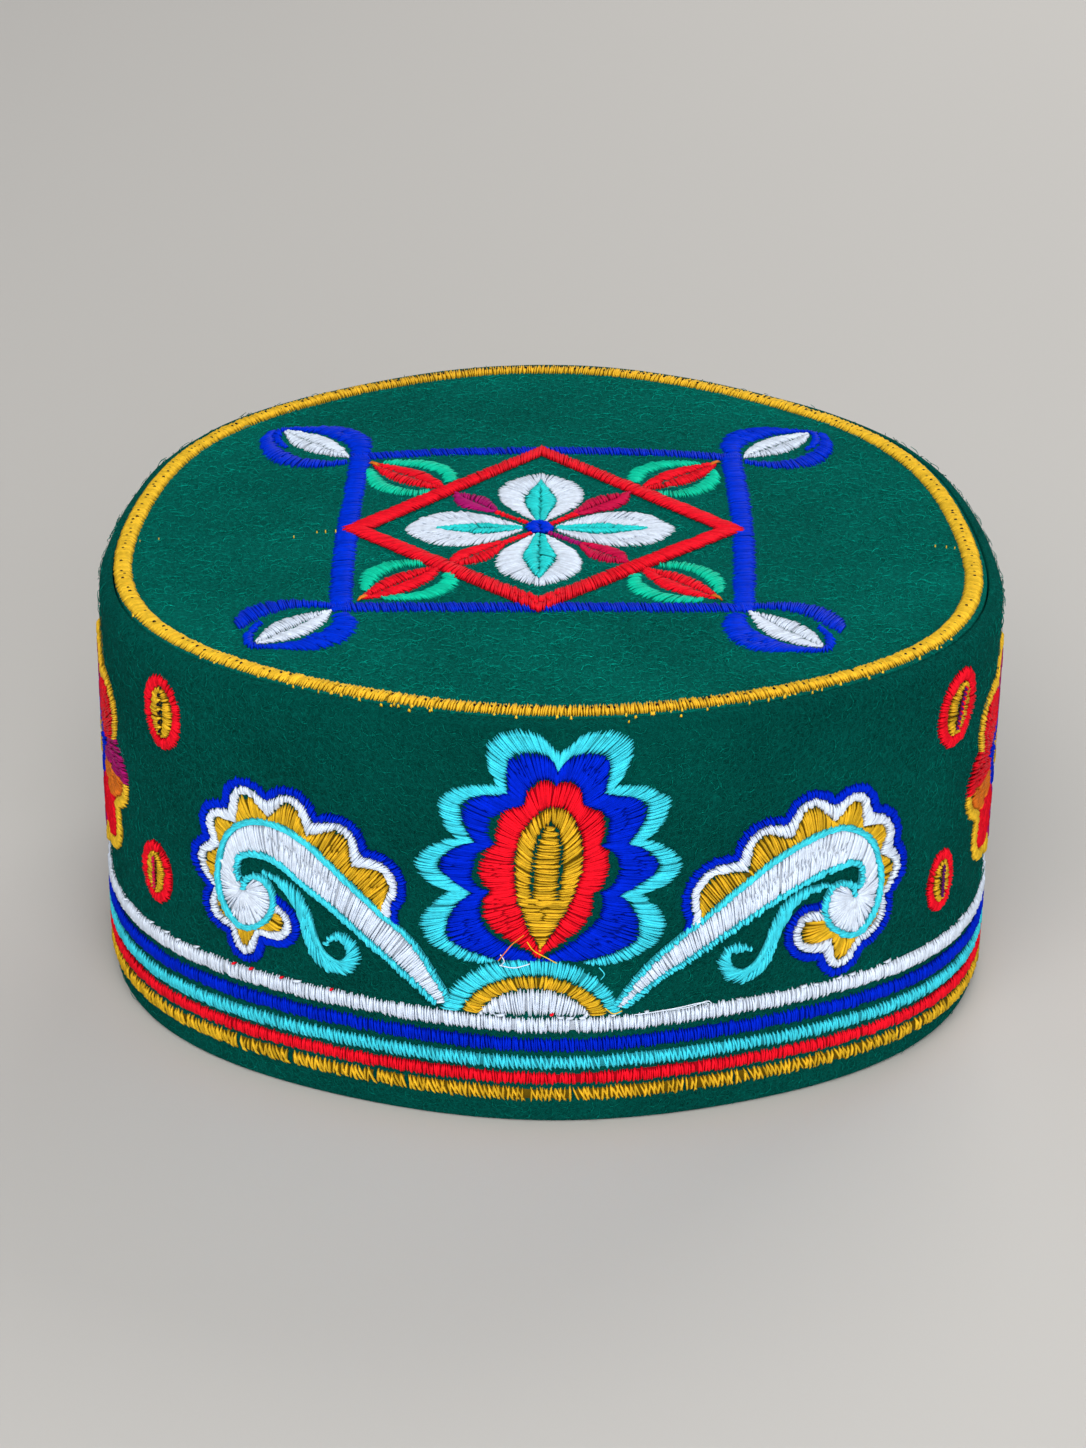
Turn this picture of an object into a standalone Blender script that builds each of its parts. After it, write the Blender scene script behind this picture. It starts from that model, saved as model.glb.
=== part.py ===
"""A round felt cap: a hollow felt wall, a flat felt top and the raised stitched motifs that they carry.

The cap stands on its rim at z = 0 with +Z up, and its front faces -Y.
Flat drawings are in millimetres. On the wall, u runs round the cap from the front centre and v runs up.
On the top, x and y are measured from the cap's upright axis.
"""

import math

import bmesh
import bpy

MM = 0.001

# Driving sizes of the felt body, in millimetres
MEAN_RADIUS = 94.0
CAP_HEIGHT = 88.0
FELT_THICKNESS = 3.0
TOP_EDGE_RADIUS = 3.0
HEM_INSET = 1.1
HEM_HEIGHT = 1.3
SEAM_GAP = 0.3

# The plan is a slightly uneven circle: waves in one turn, and their share of the radius
PLAN_WAVES = (
    (3, -0.0264),
    (4, -0.0120),
    (6, 0.0113),
)
COLUMNS = 72
COLUMN_WIDTH = 2 * math.pi * MEAN_RADIUS / COLUMNS

# Stitched work stands off the felt by a small gap
STITCH_GAP = 0.3
STITCH_THICKNESS = 0.55
# Outline points this near to a cut, or to the point before them, are joined to it
SNAP = 0.45
# Points this near to a cut count as lying on it
EXACT = 0.0005
# Points on each stretch of a smooth outline
CURVE_STEPS = 2

# Gold ring on the top
RING_SHARE = 0.9362
RING_WIDTH = 4.6

# Stripes round the base: name, height of the middle, width
STRIPES = (
    ("stripe_white", 23.5, 3.5),
    ("stripe_blue", 18.8, 2.9),
    ("stripe_turquoise", 14.55, 3.1),
    ("stripe_red", 10.85, 2.9),
    ("stripe_gold", 7.1, 3.1),
)
# The stripes dip a little at both sides: angle from the front, spread, depth
STRIPE_DIPS = (
    (-75.0, 28.0, 1.5),
    (75.0, 28.0, 2.6),
)

# The tall flower is drawn upright, mirrored, then leaned: middle, foot height and lean
FLOWER_MIDDLE = 0.3
FLOWER_MID_HEIGHT = 56.0
FLOWER_LEAN = 0.075
# One row for each lobe of its right half: corner, rise, crest, bend and fall, each as u, v
FLOWER_LOBES = (
    (0.0, 82.4, 3.6, 85.7, 9.0, 87.0, 14.2, 83.6, 13.4, 78.4),
    (11.4, 75.3, 16.0, 75.0, 20.8, 73.2, 22.9, 70.6, 21.4, 66.0),
    (18.4, 63.1, 22.4, 61.8, 25.7, 58.9, 26.4, 55.8, 23.4, 52.8),
    (19.0, 51.5, 22.6, 48.2, 24.6, 44.2, 22.4, 39.6, 16.5, 36.6),
)
FLOWER_BASE = ((9.5, 36.9), (4.5, 38.3), (0.0, 38.7))

# Arch below the flower: half ellipse on the top stripe
ARCH_MIDDLE = -2.7
ARCH_FOOT = 25.75
ARCH_CENTRE_HEIGHT = 22.0
ARCH_HALF_WIDTH = 18.6
ARCH_RISE = 16.0
ARCH_STEPS = 14

# Scrolls beside the front centre, both drawn as on the left.
# Round lobes from the head to the stem: centre u, v and radius
SCROLL_LOBES = {
    "left": (
        (-56.4, 37.3, 5.8),
        (-63.0, 30.6, 4.5),
        (-67.3, 37.2, 5.9),
        (-69.9, 46.6, 6.0),
        (-67.6, 55.4, 5.8),
        (-61.6, 62.0, 5.8),
        (-52.3, 62.3, 6.0),
        (-42.5, 57.9, 6.5),
        (-35.2, 50.5, 7.4),
    ),
    "right": (
        (-54.4, 37.2, 6.9),
        (-60.2, 30.7, 5.3),
        (-64.2, 38.2, 8.4),
        (-68.5, 46.8, 7.2),
        (-65.4, 54.0, 8.2),
        (-61.5, 62.2, 5.8),
        (-52.3, 62.9, 5.9),
        (-43.5, 57.2, 7.5),
        (-34.4, 49.0, 8.9),
    ),
}
LOBE_STEPS = 4
# Where the first lobe starts and the last one ends, in degrees round its centre
HEAD_ANGLE = 80.0
TAIL_ANGLE = {"left": -42.0, "right": -25.0}
# Inner side of the stem, from its foot to the hook, then over the knob to the first lobe: u, v
STEM_INNER = {
    "left": (
        (-22.6, 26.0), (-26.7, 28.3), (-35.1, 35.4), (-43.5, 42.3), (-51.5, 47.6), (-56.2, 50.2), (-62.6, 48.2),
    ),
    "right": (
        (-15.4, 27.0), (-20.8, 31.3), (-29.8, 36.8), (-40.4, 43.2), (-51.0, 48.2), (-56.2, 50.2), (-62.6, 48.2),
    ),
}
KNOB_TOP = ((-62.6, 48.2), (-60.3, 47.1), (-57.4, 46.2), (-55.7, 44.4))
# Outer side of the stem, from the last lobe down to its foot: u, v
STEM_OUTER = {
    "left": ((-29.7, 42.2), (-26.0, 39.4), (-22.3, 32.3), (-21.4, 29.0), (-22.0, 27.0)),
    "right": ((-26.1, 41.6), (-21.0, 38.0), (-17.2, 34.1), (-14.3, 29.6), (-15.0, 27.6)),
}
SCROLL_MIRROR = 0.7

# Small curled tendrils under the stems: middle line u, v and half width
TENDRILS = {
    "left": (
        (-55.0, 47.1, 0.5),
        (-51.9, 45.0, 1.5),
        (-48.9, 40.0, 1.3),
        (-47.9, 34.9, 1.5),
        (-45.9, 31.7, 1.6),
        (-42.9, 30.4, 1.5),
        (-40.2, 31.6, 1.6),
        (-39.4, 34.3, 1.5),
        (-40.8, 36.7, 1.2),
        (-43.2, 37.0, 0.8),
        (-44.8, 35.4, 0.3),
    ),
    "right": (
        (54.4, 46.6, 0.6),
        (51.5, 45.7, 1.2),
        (48.9, 42.9, 1.4),
        (47.2, 39.6, 1.3),
        (45.5, 34.7, 1.4),
        (43.6, 31.5, 1.5),
        (39.9, 30.1, 1.5),
        (37.1, 32.0, 1.4),
        (36.6, 34.8, 1.2),
        (38.4, 36.7, 1.0),
        (40.4, 36.5, 0.7),
        (41.8, 35.6, 0.3),
    ),
}

# Ovals beside the scrolls: name, centre u, v, half width, half height, turn in degrees
OVALS = (
    ("upper_left", -82.8, 74.9, 5.6, 8.1, 0.0),
    ("lower_left", -87.3, 37.6, 5.3, 7.0, 0.0),
    ("upper_right", 90.1, 75.5, 6.3, 8.3, -15.0),
    ("lower_right", 88.0, 37.6, 4.9, 7.1, 0.0),
)
OVAL_STEPS = 16

# Round side flowers: name, centre u, v
ROSETTES = (
    ("rosette_left", -121.8, 52.0),
    ("rosette_right", 121.2, 52.4),
)
ROSETTE_PETALS = 8
ROSETTE_REACH = 17.0
ROSETTE_PETAL_RADIUS = 8.0
ROSETTE_STEPS = 5

# Drawing on the top: middle of the pattern, frame corners, diamond corners
PATTERN_MIDDLE = (-2.4, -0.2)
FRAME_CORNERS = ((-42.1, -40.2), (38.4, -37.8), (39.4, 39.6), (-42.4, 36.9))
FRAME_BOWS = (0.3, 0.7, 4.2, 0.2)
FRAME_WIDTH = 3.9
FRAME_STEPS = 5
DIAMOND_REACH = (35.6, 36.9, 38.5, 36.0)
DIAMOND_CORNERS = ((-2.4, -41.6), (40.0, 0.2), (-2.4, 44.4), (-43.7, -2.7))
DIAMOND_BAND = 4.0
DIAMOND_TIP = 0.8

# Four white petals round the knot: name, direction in degrees, reach and half width
PETALS = (
    ("top_petal_front", -90.0, 28.4, 9.1),
    ("top_petal_right", 0.0, 28.4, 9.0),
    ("top_petal_back", 90.0, 29.8, 9.2),
    ("top_petal_left", 183.5, 28.3, 9.0),
)
PETAL_START = 3.6
# Shape of a petal: share of its length, share of its half width
PETAL_SHAPE = ((0.0, 0.0), (0.14, 0.42), (0.36, 0.86), (0.57, 1.0), (0.78, 0.84), (0.93, 0.38), (1.0, 0.0))

# Four leaves on stems between the petals: name, foot x, y, tip x, y
LEAVES = (
    ("top_leaf_front_left", -5.0, -3.2, -19.9, -18.6),
    ("top_leaf_front_right", 0.0, -2.9, 15.0, -16.1),
    ("top_leaf_back_right", 0.1, 2.2, 16.0, 18.2),
    ("top_leaf_back_left", -5.0, 2.6, -19.9, 16.8),
)
LEAF_HALF_WIDTH = 3.8
# Shape of a leaf: share of its length, share of its half width
LEAF_SHAPE = ((0.0, 0.13), (0.36, 0.2), (0.52, 0.72), (0.68, 1.0), (0.85, 0.72), (1.0, 0.0))

# Cups with an almond: name, inner tip x, y, outer tip x, y, side of the outline's first half
CORNER_CUPS = (
    ("top_corner_front_left", -43.5, -42.2, -57.1, -57.5, 1),
    ("top_corner_front_right", 39.7, -40.0, 53.1, -55.6, -1),
    ("top_corner_back_right", 41.9, 40.0, 56.9, 53.7, 1),
    ("top_corner_back_left", -45.2, 37.4, -59.6, 51.2, -1),
)
BUD_CUPS = (
    ("top_bud_front_left", -22.6, -20.6, -37.6, -36.4, 1),
    ("top_bud_front_right", 18.2, -19.2, 33.4, -33.8, 1),
    ("top_bud_back_right", 18.9, 21.0, 35.6, 35.8, 1),
    ("top_bud_back_left", -22.9, 20.3, -38.2, 32.2, 1),
)
# Outlines of both cups: millimetres along the axis and across it. The corner's cup is fuller on one side
CORNER_CUP_SHAPE = (
    (2.4, 0.0), (0.2, 5.6), (1.8, 9.2), (5.5, 11.4), (9.5, 12.0), (13.5, 11.2), (18.2, 6.2), (22.8, 0.0),
    (20.6, -3.6), (18.0, -6.6), (16.6, -10.8), (12.3, -13.0), (7.2, -13.4), (2.6, -11.0), (-0.1, -7.0),
)
BUD_CUP_SHAPE = (
    (2.2, 0.0), (2.5, 5.6), (5.4, 8.8), (13.0, 9.0), (18.0, 4.8), (21.0, 0.0), (18.0, -4.8), (13.0, -9.0),
    (5.4, -8.8), (2.5, -5.6),
)
KNOB_RADIUS = 2.7
KNOB_STEPS = 12

# Colours as red, green, blue in linear light, and roughness
FELT_GREEN = (0.004, 0.075, 0.058)
THREAD_COLOURS = {
    "white": (0.72, 0.72, 0.82),
    "blue": (0.0, 0.03, 0.55),
    "turquoise": (0.03, 0.62, 0.72),
    "red": (0.75, 0.01, 0.02),
    "gold": (0.72, 0.40, 0.02),
    "mint": (0.01, 0.5, 0.33),
}
FELT_ROUGHNESS = 0.95
THREAD_ROUGHNESS = 0.5


def plan_radius(theta):
    """Outer radius of the wall at an angle from the front."""
    share = 1.0
    for count, amount in PLAN_WAVES:
        share += amount * math.cos(count * theta)
    return MEAN_RADIUS * share


# The plan is deeper behind than in front, so its middle moves to the origin
PLAN_SHIFT = (plan_radius(0.0) - plan_radius(math.pi)) / 2


def polar_point(theta, radius, height):
    """A point round the cap's axis, in metres."""
    x = radius * math.sin(theta)
    y = -radius * math.cos(theta) + PLAN_SHIFT
    return (x * MM, y * MM, height * MM)


def on_wall(u, v, lift):
    """A point of the flat wall drawing, on the flat facet between two columns of the wall."""
    first = math.floor(u / COLUMN_WIDTH)
    share = u / COLUMN_WIDTH - first
    ends = []
    for column in (first, first + 1):
        theta = 2 * math.pi * column / COLUMNS
        ends.append(polar_point(theta, plan_radius(theta) + lift, v))
    return tuple(a + (b - a) * share for a, b in zip(*ends))


def on_top(x, y, lift):
    return (x * MM, (y + PLAN_SHIFT) * MM, (CAP_HEIGHT + lift) * MM)


def make_material(name, colour, roughness):
    material = bpy.data.materials.get(name)
    if material is None:
        material = bpy.data.materials.new(name)
        material.use_nodes = True
        shader = material.node_tree.nodes["Principled BSDF"]
        shader.inputs["Base Color"].default_value = (*colour, 1.0)
        shader.inputs["Roughness"].default_value = roughness
        shader.inputs["Metallic"].default_value = 0.0
    return material


def thread(colour):
    return make_material("thread_" + colour, THREAD_COLOURS[colour], THREAD_ROUGHNESS)


def felt():
    return make_material("felt_green", FELT_GREEN, FELT_ROUGHNESS)


def add_object(name, mesh_data, material):
    """Turn a bmesh into a named, smooth-shaded object."""
    bmesh.ops.triangulate(mesh_data, faces=mesh_data.faces)
    bmesh.ops.recalc_face_normals(mesh_data, faces=mesh_data.faces)
    if mesh_data.calc_volume(signed=True) < 0:
        bmesh.ops.reverse_faces(mesh_data, faces=mesh_data.faces)
    mesh = bpy.data.meshes.new(name)
    mesh_data.to_mesh(mesh)
    mesh_data.free()
    mesh.shade_smooth()
    mesh.set_sharp_from_angle(angle=math.radians(35))
    mesh.materials.append(material)
    thing = bpy.data.objects.new(name, mesh)
    bpy.context.scene.collection.objects.link(thing)
    return thing


def smooth_run(points, steps=CURVE_STEPS):
    """Points along a smooth curve through the given ones, without the last."""
    before = [2 * a - b for a, b in zip(points[0], points[1])]
    after = [2 * a - b for a, b in zip(points[-1], points[-2])]
    knots = [before, *points, after]
    run = []
    for index in range(1, len(knots) - 2):
        for step in range(steps):
            t = step / steps
            spot = []
            for a, b, c, d in zip(*knots[index - 1 : index + 3]):
                cubic = (3 * b - a - 3 * c + d) * t**3
                spot.append(0.5 * (2 * b + (c - a) * t + (2 * a - 5 * b + 4 * c - d) * t**2 + cubic))
            run.append(tuple(spot))
    return run


def turned_once(outline):
    """The outline, counter-clockwise."""
    area = 0.0
    for index, (x, y) in enumerate(outline):
        next_x, next_y = outline[(index + 1) % len(outline)]
        area += x * next_y - next_x * y
    return list(outline) if area > 0 else list(reversed(outline))


def raised_patch(name, outline, place, material, cuts=()):
    """A closed solid of even thickness over a flat outline, bent onto its surface by place.

    It is cut along upright lines first, so that it follows the wall's flat facets.
    """
    flat = bmesh.new()
    corners = [flat.verts.new((x, y, 0.0)) for x, y in turned_once(outline)]
    flat.faces.new(corners)
    for cut in cuts:
        everything = flat.verts[:] + flat.edges[:] + flat.faces[:]
        bmesh.ops.bisect_plane(flat, geom=everything, dist=EXACT, plane_co=(cut, 0, 0), plane_no=(1, 0, 0))
    bmesh.ops.triangulate(flat, faces=flat.faces)
    solid = bmesh.new()
    low = {}
    high = {}
    for vert in flat.verts:
        low[vert] = solid.verts.new(place(vert.co.x, vert.co.y, STITCH_GAP))
        high[vert] = solid.verts.new(place(vert.co.x, vert.co.y, STITCH_GAP + STITCH_THICKNESS))
    for face in flat.faces:
        solid.faces.new([high[vert] for vert in face.verts])
        solid.faces.new([low[vert] for vert in reversed(face.verts)])
    for edge in flat.edges:
        if edge.is_boundary:
            start, end = edge.verts
            solid.faces.new((low[start], low[end], high[end], high[start]))
    flat.free()
    return add_object(name, solid, material)


def snapped(outline, cuts):
    """The outline with points near a cut moved onto it, and none in the middle of a run along a cut."""
    moved = []
    for x, y in outline:
        near = [cut for cut in cuts if abs(x - cut) < SNAP]
        moved.append((near[0] if near else x, y))
    kept = []
    for index, (x, y) in enumerate(moved):
        before = moved[index - 1]
        after = moved[(index + 1) % len(moved)]
        if not (x == before[0] == after[0]) and math.dist((x, y), before) > SNAP:
            kept.append((x, y))
    return kept


def wall_patch(name, outline, colour, turn=0.0):
    """A patch on the wall, drawn about u = 0 and carried round the cap by a distance."""
    moved = [(u + turn, v) for u, v in outline]
    first = math.ceil(min(u for u, v in moved) / COLUMN_WIDTH)
    last = math.floor(max(u for u, v in moved) / COLUMN_WIDTH)
    cuts = [COLUMN_WIDTH * index for index in range(first, last + 1)]
    return raised_patch(name, snapped(moved, cuts), on_wall, thread(colour), cuts)


def top_patch(name, outline, colour):
    return raised_patch(name, outline, on_top, thread(colour))


def ring_solid(name, loops, material):
    """A closed band round the cap from a few loops of points, one after another round its section."""
    solid = bmesh.new()
    rings = [[solid.verts.new(point) for point in loop] for loop in loops]
    for index, ring in enumerate(rings):
        following = rings[(index + 1) % len(rings)]
        for column in range(COLUMNS):
            beside = (column + 1) % COLUMNS
            solid.faces.new((ring[column], ring[beside], following[beside], following[column]))
    return add_object(name, solid, material)


def turns():
    return [2 * math.pi * column / COLUMNS for column in range(COLUMNS)]


def build_side_band():
    """Hollow wall: hem turned under at the rim, straight wall, edge rounded over to the top."""
    turned = (-HEM_INSET * 0.3, HEM_HEIGHT * 0.3)
    profile = [(-FELT_THICKNESS, 0.0), (-HEM_INSET, 0.0), turned, (0.0, HEM_HEIGHT)]
    arc_steps = 4
    for step in range(arc_steps + 1):
        angle = math.pi / 2 * step / arc_steps
        inset = TOP_EDGE_RADIUS * (math.cos(angle) - 1)
        rise = TOP_EDGE_RADIUS * (math.sin(angle) - 1)
        profile.append((inset, CAP_HEIGHT + rise))
    loops = []
    for inset, height in profile:
        loops.append([polar_point(theta, plan_radius(theta) + inset, height) for theta in turns()])
    ring_solid("side_band", loops, felt())


def build_crown_top():
    """Flat felt disc that fills the wall's upper opening."""
    solid = bmesh.new()
    inset = -TOP_EDGE_RADIUS - SEAM_GAP
    rims = []
    for height in (CAP_HEIGHT - FELT_THICKNESS, CAP_HEIGHT):
        points = [polar_point(theta, plan_radius(theta) + inset, height) for theta in turns()]
        rims.append([solid.verts.new(point) for point in points])
    lower, upper = rims
    solid.faces.new(lower)
    solid.faces.new(upper)
    for column in range(COLUMNS):
        beside = (column + 1) % COLUMNS
        solid.faces.new((lower[column], lower[beside], upper[beside], upper[column]))
    add_object("crown_top", solid, felt())


def build_gold_ring():
    loops = []
    half = RING_WIDTH / 2
    for offset, lift in ((-half, 0.0), (half, 0.0), (half, 1.0), (-half, 1.0)):
        height = CAP_HEIGHT + STITCH_GAP + lift * STITCH_THICKNESS
        loops.append([polar_point(t, plan_radius(t) * RING_SHARE + offset, height) for t in turns()])
    ring_solid("gold_ring", loops, thread("gold"))


def stripe_dip(theta):
    """How far the stripes hang below their front height."""
    angle = math.degrees(math.atan2(math.sin(theta), math.cos(theta)))
    return sum(depth * math.exp(-(((angle - middle) / spread) ** 2)) for middle, spread, depth in STRIPE_DIPS)


def build_stripes():
    for name, middle, width in STRIPES:
        loops = []
        half = width / 2
        for rise, lift in ((-half, 0.0), (-half, 1.0), (half, 1.0), (half, 0.0)):
            offset = STITCH_GAP + lift * STITCH_THICKNESS
            loops.append(
                [polar_point(t, plan_radius(t) + offset, middle + rise - stripe_dip(t)) for t in turns()]
            )
        ring_solid(name, loops, thread(name.removeprefix("stripe_")))


def mirrored_half(half, middle=0.0):
    """A whole outline from its right half, whose first and last points lie on the mirror line."""
    return list(half) + [(2 * middle - x, y) for x, y in reversed(half[1:-1])]


def flower_outline():
    half = []
    corners = [row[:2] for row in FLOWER_LOBES[1:]] + [FLOWER_BASE[0]]
    for row, next_corner in zip(FLOWER_LOBES, corners):
        points = [row[index : index + 2] for index in range(0, len(row), 2)]
        half += smooth_run([*points, next_corner])
    half += FLOWER_BASE
    lean = []
    for s, v in mirrored_half(half):
        lean.append((FLOWER_MIDDLE + s + FLOWER_LEAN * (v - FLOWER_MID_HEIGHT), v))
    return lean


def arch_outline():
    start = math.asin((ARCH_FOOT - ARCH_CENTRE_HEIGHT) / ARCH_RISE)
    outline = []
    for step in range(ARCH_STEPS + 1):
        angle = start + (math.pi - 2 * start) * step / ARCH_STEPS
        u = ARCH_MIDDLE + ARCH_HALF_WIDTH * math.cos(angle)
        outline.append((u, ARCH_CENTRE_HEIGHT + ARCH_RISE * math.sin(angle)))
    return outline


def outer_crossing(first, second):
    """Where a lobe crosses the next one, on the side away from the stem."""
    ax, ay, ar = first
    bx, by, br = second
    gap = math.hypot(bx - ax, by - ay)
    along = (ar**2 - br**2 + gap**2) / (2 * gap)
    aside = math.sqrt(max(ar**2 - along**2, 0.0))
    dx = (bx - ax) / gap
    dy = (by - ay) / gap
    return (ax + along * dx - aside * dy, ay + along * dy + aside * dx)


def lobe_point(lobe, degrees):
    """A point on the edge of a round lobe."""
    x, y, radius = lobe
    angle = math.radians(degrees)
    return (x + radius * math.cos(angle), y + radius * math.sin(angle))


def scroll_outline(side):
    """Stem, hook and the row of round lobes, all round, drawn as on the left."""
    outline = smooth_run(STEM_INNER[side]) + smooth_run(KNOB_TOP) + [KNOB_TOP[-1]]
    lobes = SCROLL_LOBES[side]
    end = lobe_point(lobes[-1], TAIL_ANGLE[side])
    crossings = [lobe_point(lobes[0], HEAD_ANGLE)]
    for first, second in zip(lobes, lobes[1:]):
        crossings.append(outer_crossing(first, second))
    crossings.append(end)
    for lobe, arrive, leave in zip(lobes, crossings, crossings[1:]):
        x, y, radius = lobe
        begin = math.atan2(arrive[1] - y, arrive[0] - x)
        finish = math.atan2(leave[1] - y, leave[0] - x)
        while finish > begin:
            finish -= 2 * math.pi
        for step in range(LOBE_STEPS):
            angle = begin + (finish - begin) * step / LOBE_STEPS
            outline.append((x + radius * math.cos(angle), y + radius * math.sin(angle)))
    outline.append(end)
    outline += smooth_run(STEM_OUTER[side]) + [STEM_OUTER[side][-1]]
    return outline


def ribbon_outline(rows):
    """Outline of a ribbon from its middle line and half widths."""
    middle = smooth_run(rows, 1) + [rows[-1]]
    left = []
    right = []
    for index, (x, y, half) in enumerate(middle):
        before = middle[max(index - 1, 0)]
        after = middle[min(index + 1, len(middle) - 1)]
        dx = after[0] - before[0]
        dy = after[1] - before[1]
        length = math.hypot(dx, dy)
        left.append((x - half * dy / length, y + half * dx / length))
        right.append((x + half * dy / length, y - half * dx / length))
    return left + right[::-1]


def ellipse_outline(x, y, half_width, half_height, turn, steps):
    cosine = math.cos(math.radians(turn))
    sine = math.sin(math.radians(turn))
    outline = []
    for step in range(steps):
        angle = 2 * math.pi * step / steps
        across = half_width * math.cos(angle)
        up = half_height * math.sin(angle)
        outline.append((x + across * cosine - up * sine, y + across * sine + up * cosine))
    return outline


def rosette_outline(centre_u, centre_v):
    """Eight round petals in a ring, as one outline."""
    outline = []
    sector = 2 * math.pi / ROSETTE_PETALS
    for step in range(ROSETTE_PETALS * ROSETTE_STEPS):
        angle = sector * (step / ROSETTE_STEPS - 0.5)
        off = angle - sector * round(angle / sector)
        aside = ROSETTE_REACH * math.sin(off)
        radius = ROSETTE_REACH * math.cos(off) + math.sqrt(ROSETTE_PETAL_RADIUS**2 - aside**2)
        outline.append((centre_u + radius * math.cos(angle), centre_v + radius * math.sin(angle)))
    return outline


def build_wall_motifs():
    """The same panel in front and behind, with a round flower at each side."""
    half_turn = math.pi * MEAN_RADIUS
    scrolls = {
        "left": scroll_outline("left"),
        "right": [(2 * SCROLL_MIRROR - u, v) for u, v in scroll_outline("right")],
    }
    for side, turn in (("front", 0.0), ("back", half_turn)):
        wall_patch(side + "_flower", flower_outline(), "turquoise", turn)
        wall_patch(side + "_arch", arch_outline(), "turquoise", turn)
        for hand, outline in scrolls.items():
            wall_patch(f"scroll_{side}_{hand}", outline, "white", turn)
            wall_patch(f"tendril_{side}_{hand}", ribbon_outline(TENDRILS[hand]), "turquoise", turn)
        for name, u, v, half_width, half_height, tilt in OVALS:
            outline = ellipse_outline(u, v, half_width, half_height, tilt, OVAL_STEPS)
            wall_patch("oval_" + side + "_" + name, outline, "red", turn)
    for name, u, v in ROSETTES:
        wall_patch(name, rosette_outline(u, v), "gold")


def bowed_side(start, end, bow, steps):
    """Points along a side that bows outwards, without the last."""
    dx = end[0] - start[0]
    dy = end[1] - start[1]
    length = math.hypot(dx, dy)
    run = []
    for step in range(steps):
        t = step / steps
        out = bow * math.sin(math.pi * t)
        run.append((start[0] + dx * t + out * dy / length, start[1] + dy * t - out * dx / length))
    return run


def moved_corners(corners, distance):
    """Corners of a four-sided outline after each side moves out by a distance."""
    moved = []
    for index, corner in enumerate(corners):
        before = corners[index - 1]
        after = corners[(index + 1) % len(corners)]
        ways = []
        for start, end in ((before, corner), (corner, after)):
            length = math.hypot(end[0] - start[0], end[1] - start[1])
            ways.append(((end[1] - start[1]) / length, (start[0] - end[0]) / length))
        (ax, ay), (bx, by) = ways
        share = distance / (1 + ax * bx + ay * by)
        moved.append((corner[0] + share * (ax + bx), corner[1] + share * (ay + by)))
    return moved


def ladder_ring(name, outer, inner, colour):
    """A closed flat band between two loops of points, on the top."""
    solid = bmesh.new()
    high = STITCH_GAP + STITCH_THICKNESS
    loops = []
    for loop, lift in ((outer, STITCH_GAP), (outer, high), (inner, high), (inner, STITCH_GAP)):
        loops.append([solid.verts.new(on_top(x, y, lift)) for x, y in loop])
    count = len(outer)
    for index, loop in enumerate(loops):
        following = loops[(index + 1) % len(loops)]
        for step in range(count):
            beside = (step + 1) % count
            solid.faces.new((loop[step], loop[beside], following[beside], following[step]))
    add_object(name, solid, thread(colour))


def build_top_frame():
    rails = []
    for side in (1, -1):
        corners = moved_corners(FRAME_CORNERS, side * FRAME_WIDTH / 2)
        rail = []
        for index, bow in enumerate(FRAME_BOWS):
            rail += bowed_side(corners[index], corners[(index + 1) % len(corners)], bow, FRAME_STEPS)
        rails.append(rail)
    ladder_ring("top_frame", rails[0], rails[1], "blue")


def build_top_diamond():
    """Red diamond whose tips are cut off just inside the frame."""
    cx, cy = PATTERN_MIDDLE
    rails = []
    for corners in (DIAMOND_CORNERS, moved_corners(DIAMOND_CORNERS, -DIAMOND_BAND)):
        rail = []
        for index, corner in enumerate(corners):
            reach = DIAMOND_REACH[index]
            for neighbour in (corners[index - 1], corners[(index + 1) % len(corners)]):
                axis = 1 if index % 2 == 0 else 0
                distance = abs(corner[axis] - (cx, cy)[axis])
                drop = abs(corner[axis] - neighbour[axis])
                share = max(distance - reach, DIAMOND_TIP) / drop
                rail.append(
                    tuple(corner[k] + (neighbour[k] - corner[k]) * share for k in (0, 1))
                )
        rails.append(rail)
    ladder_ring("top_diamond", rails[0], rails[1], "red")


def both_halves(half_shape):
    """A whole outline from one half of it, given along and across its axis."""
    return list(half_shape) + [(along, -across) for along, across in reversed(half_shape) if across]


def local_outline(start, end, shape):
    """An outline drawn along the line from start to end, in millimetres along and across."""
    dx = end[0] - start[0]
    dy = end[1] - start[1]
    length = math.hypot(dx, dy)
    ax = dx / length
    ay = dy / length
    outline = []
    for along, across in shape:
        outline.append((start[0] + along * ax - across * ay, start[1] + along * ay + across * ax))
    return outline


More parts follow.
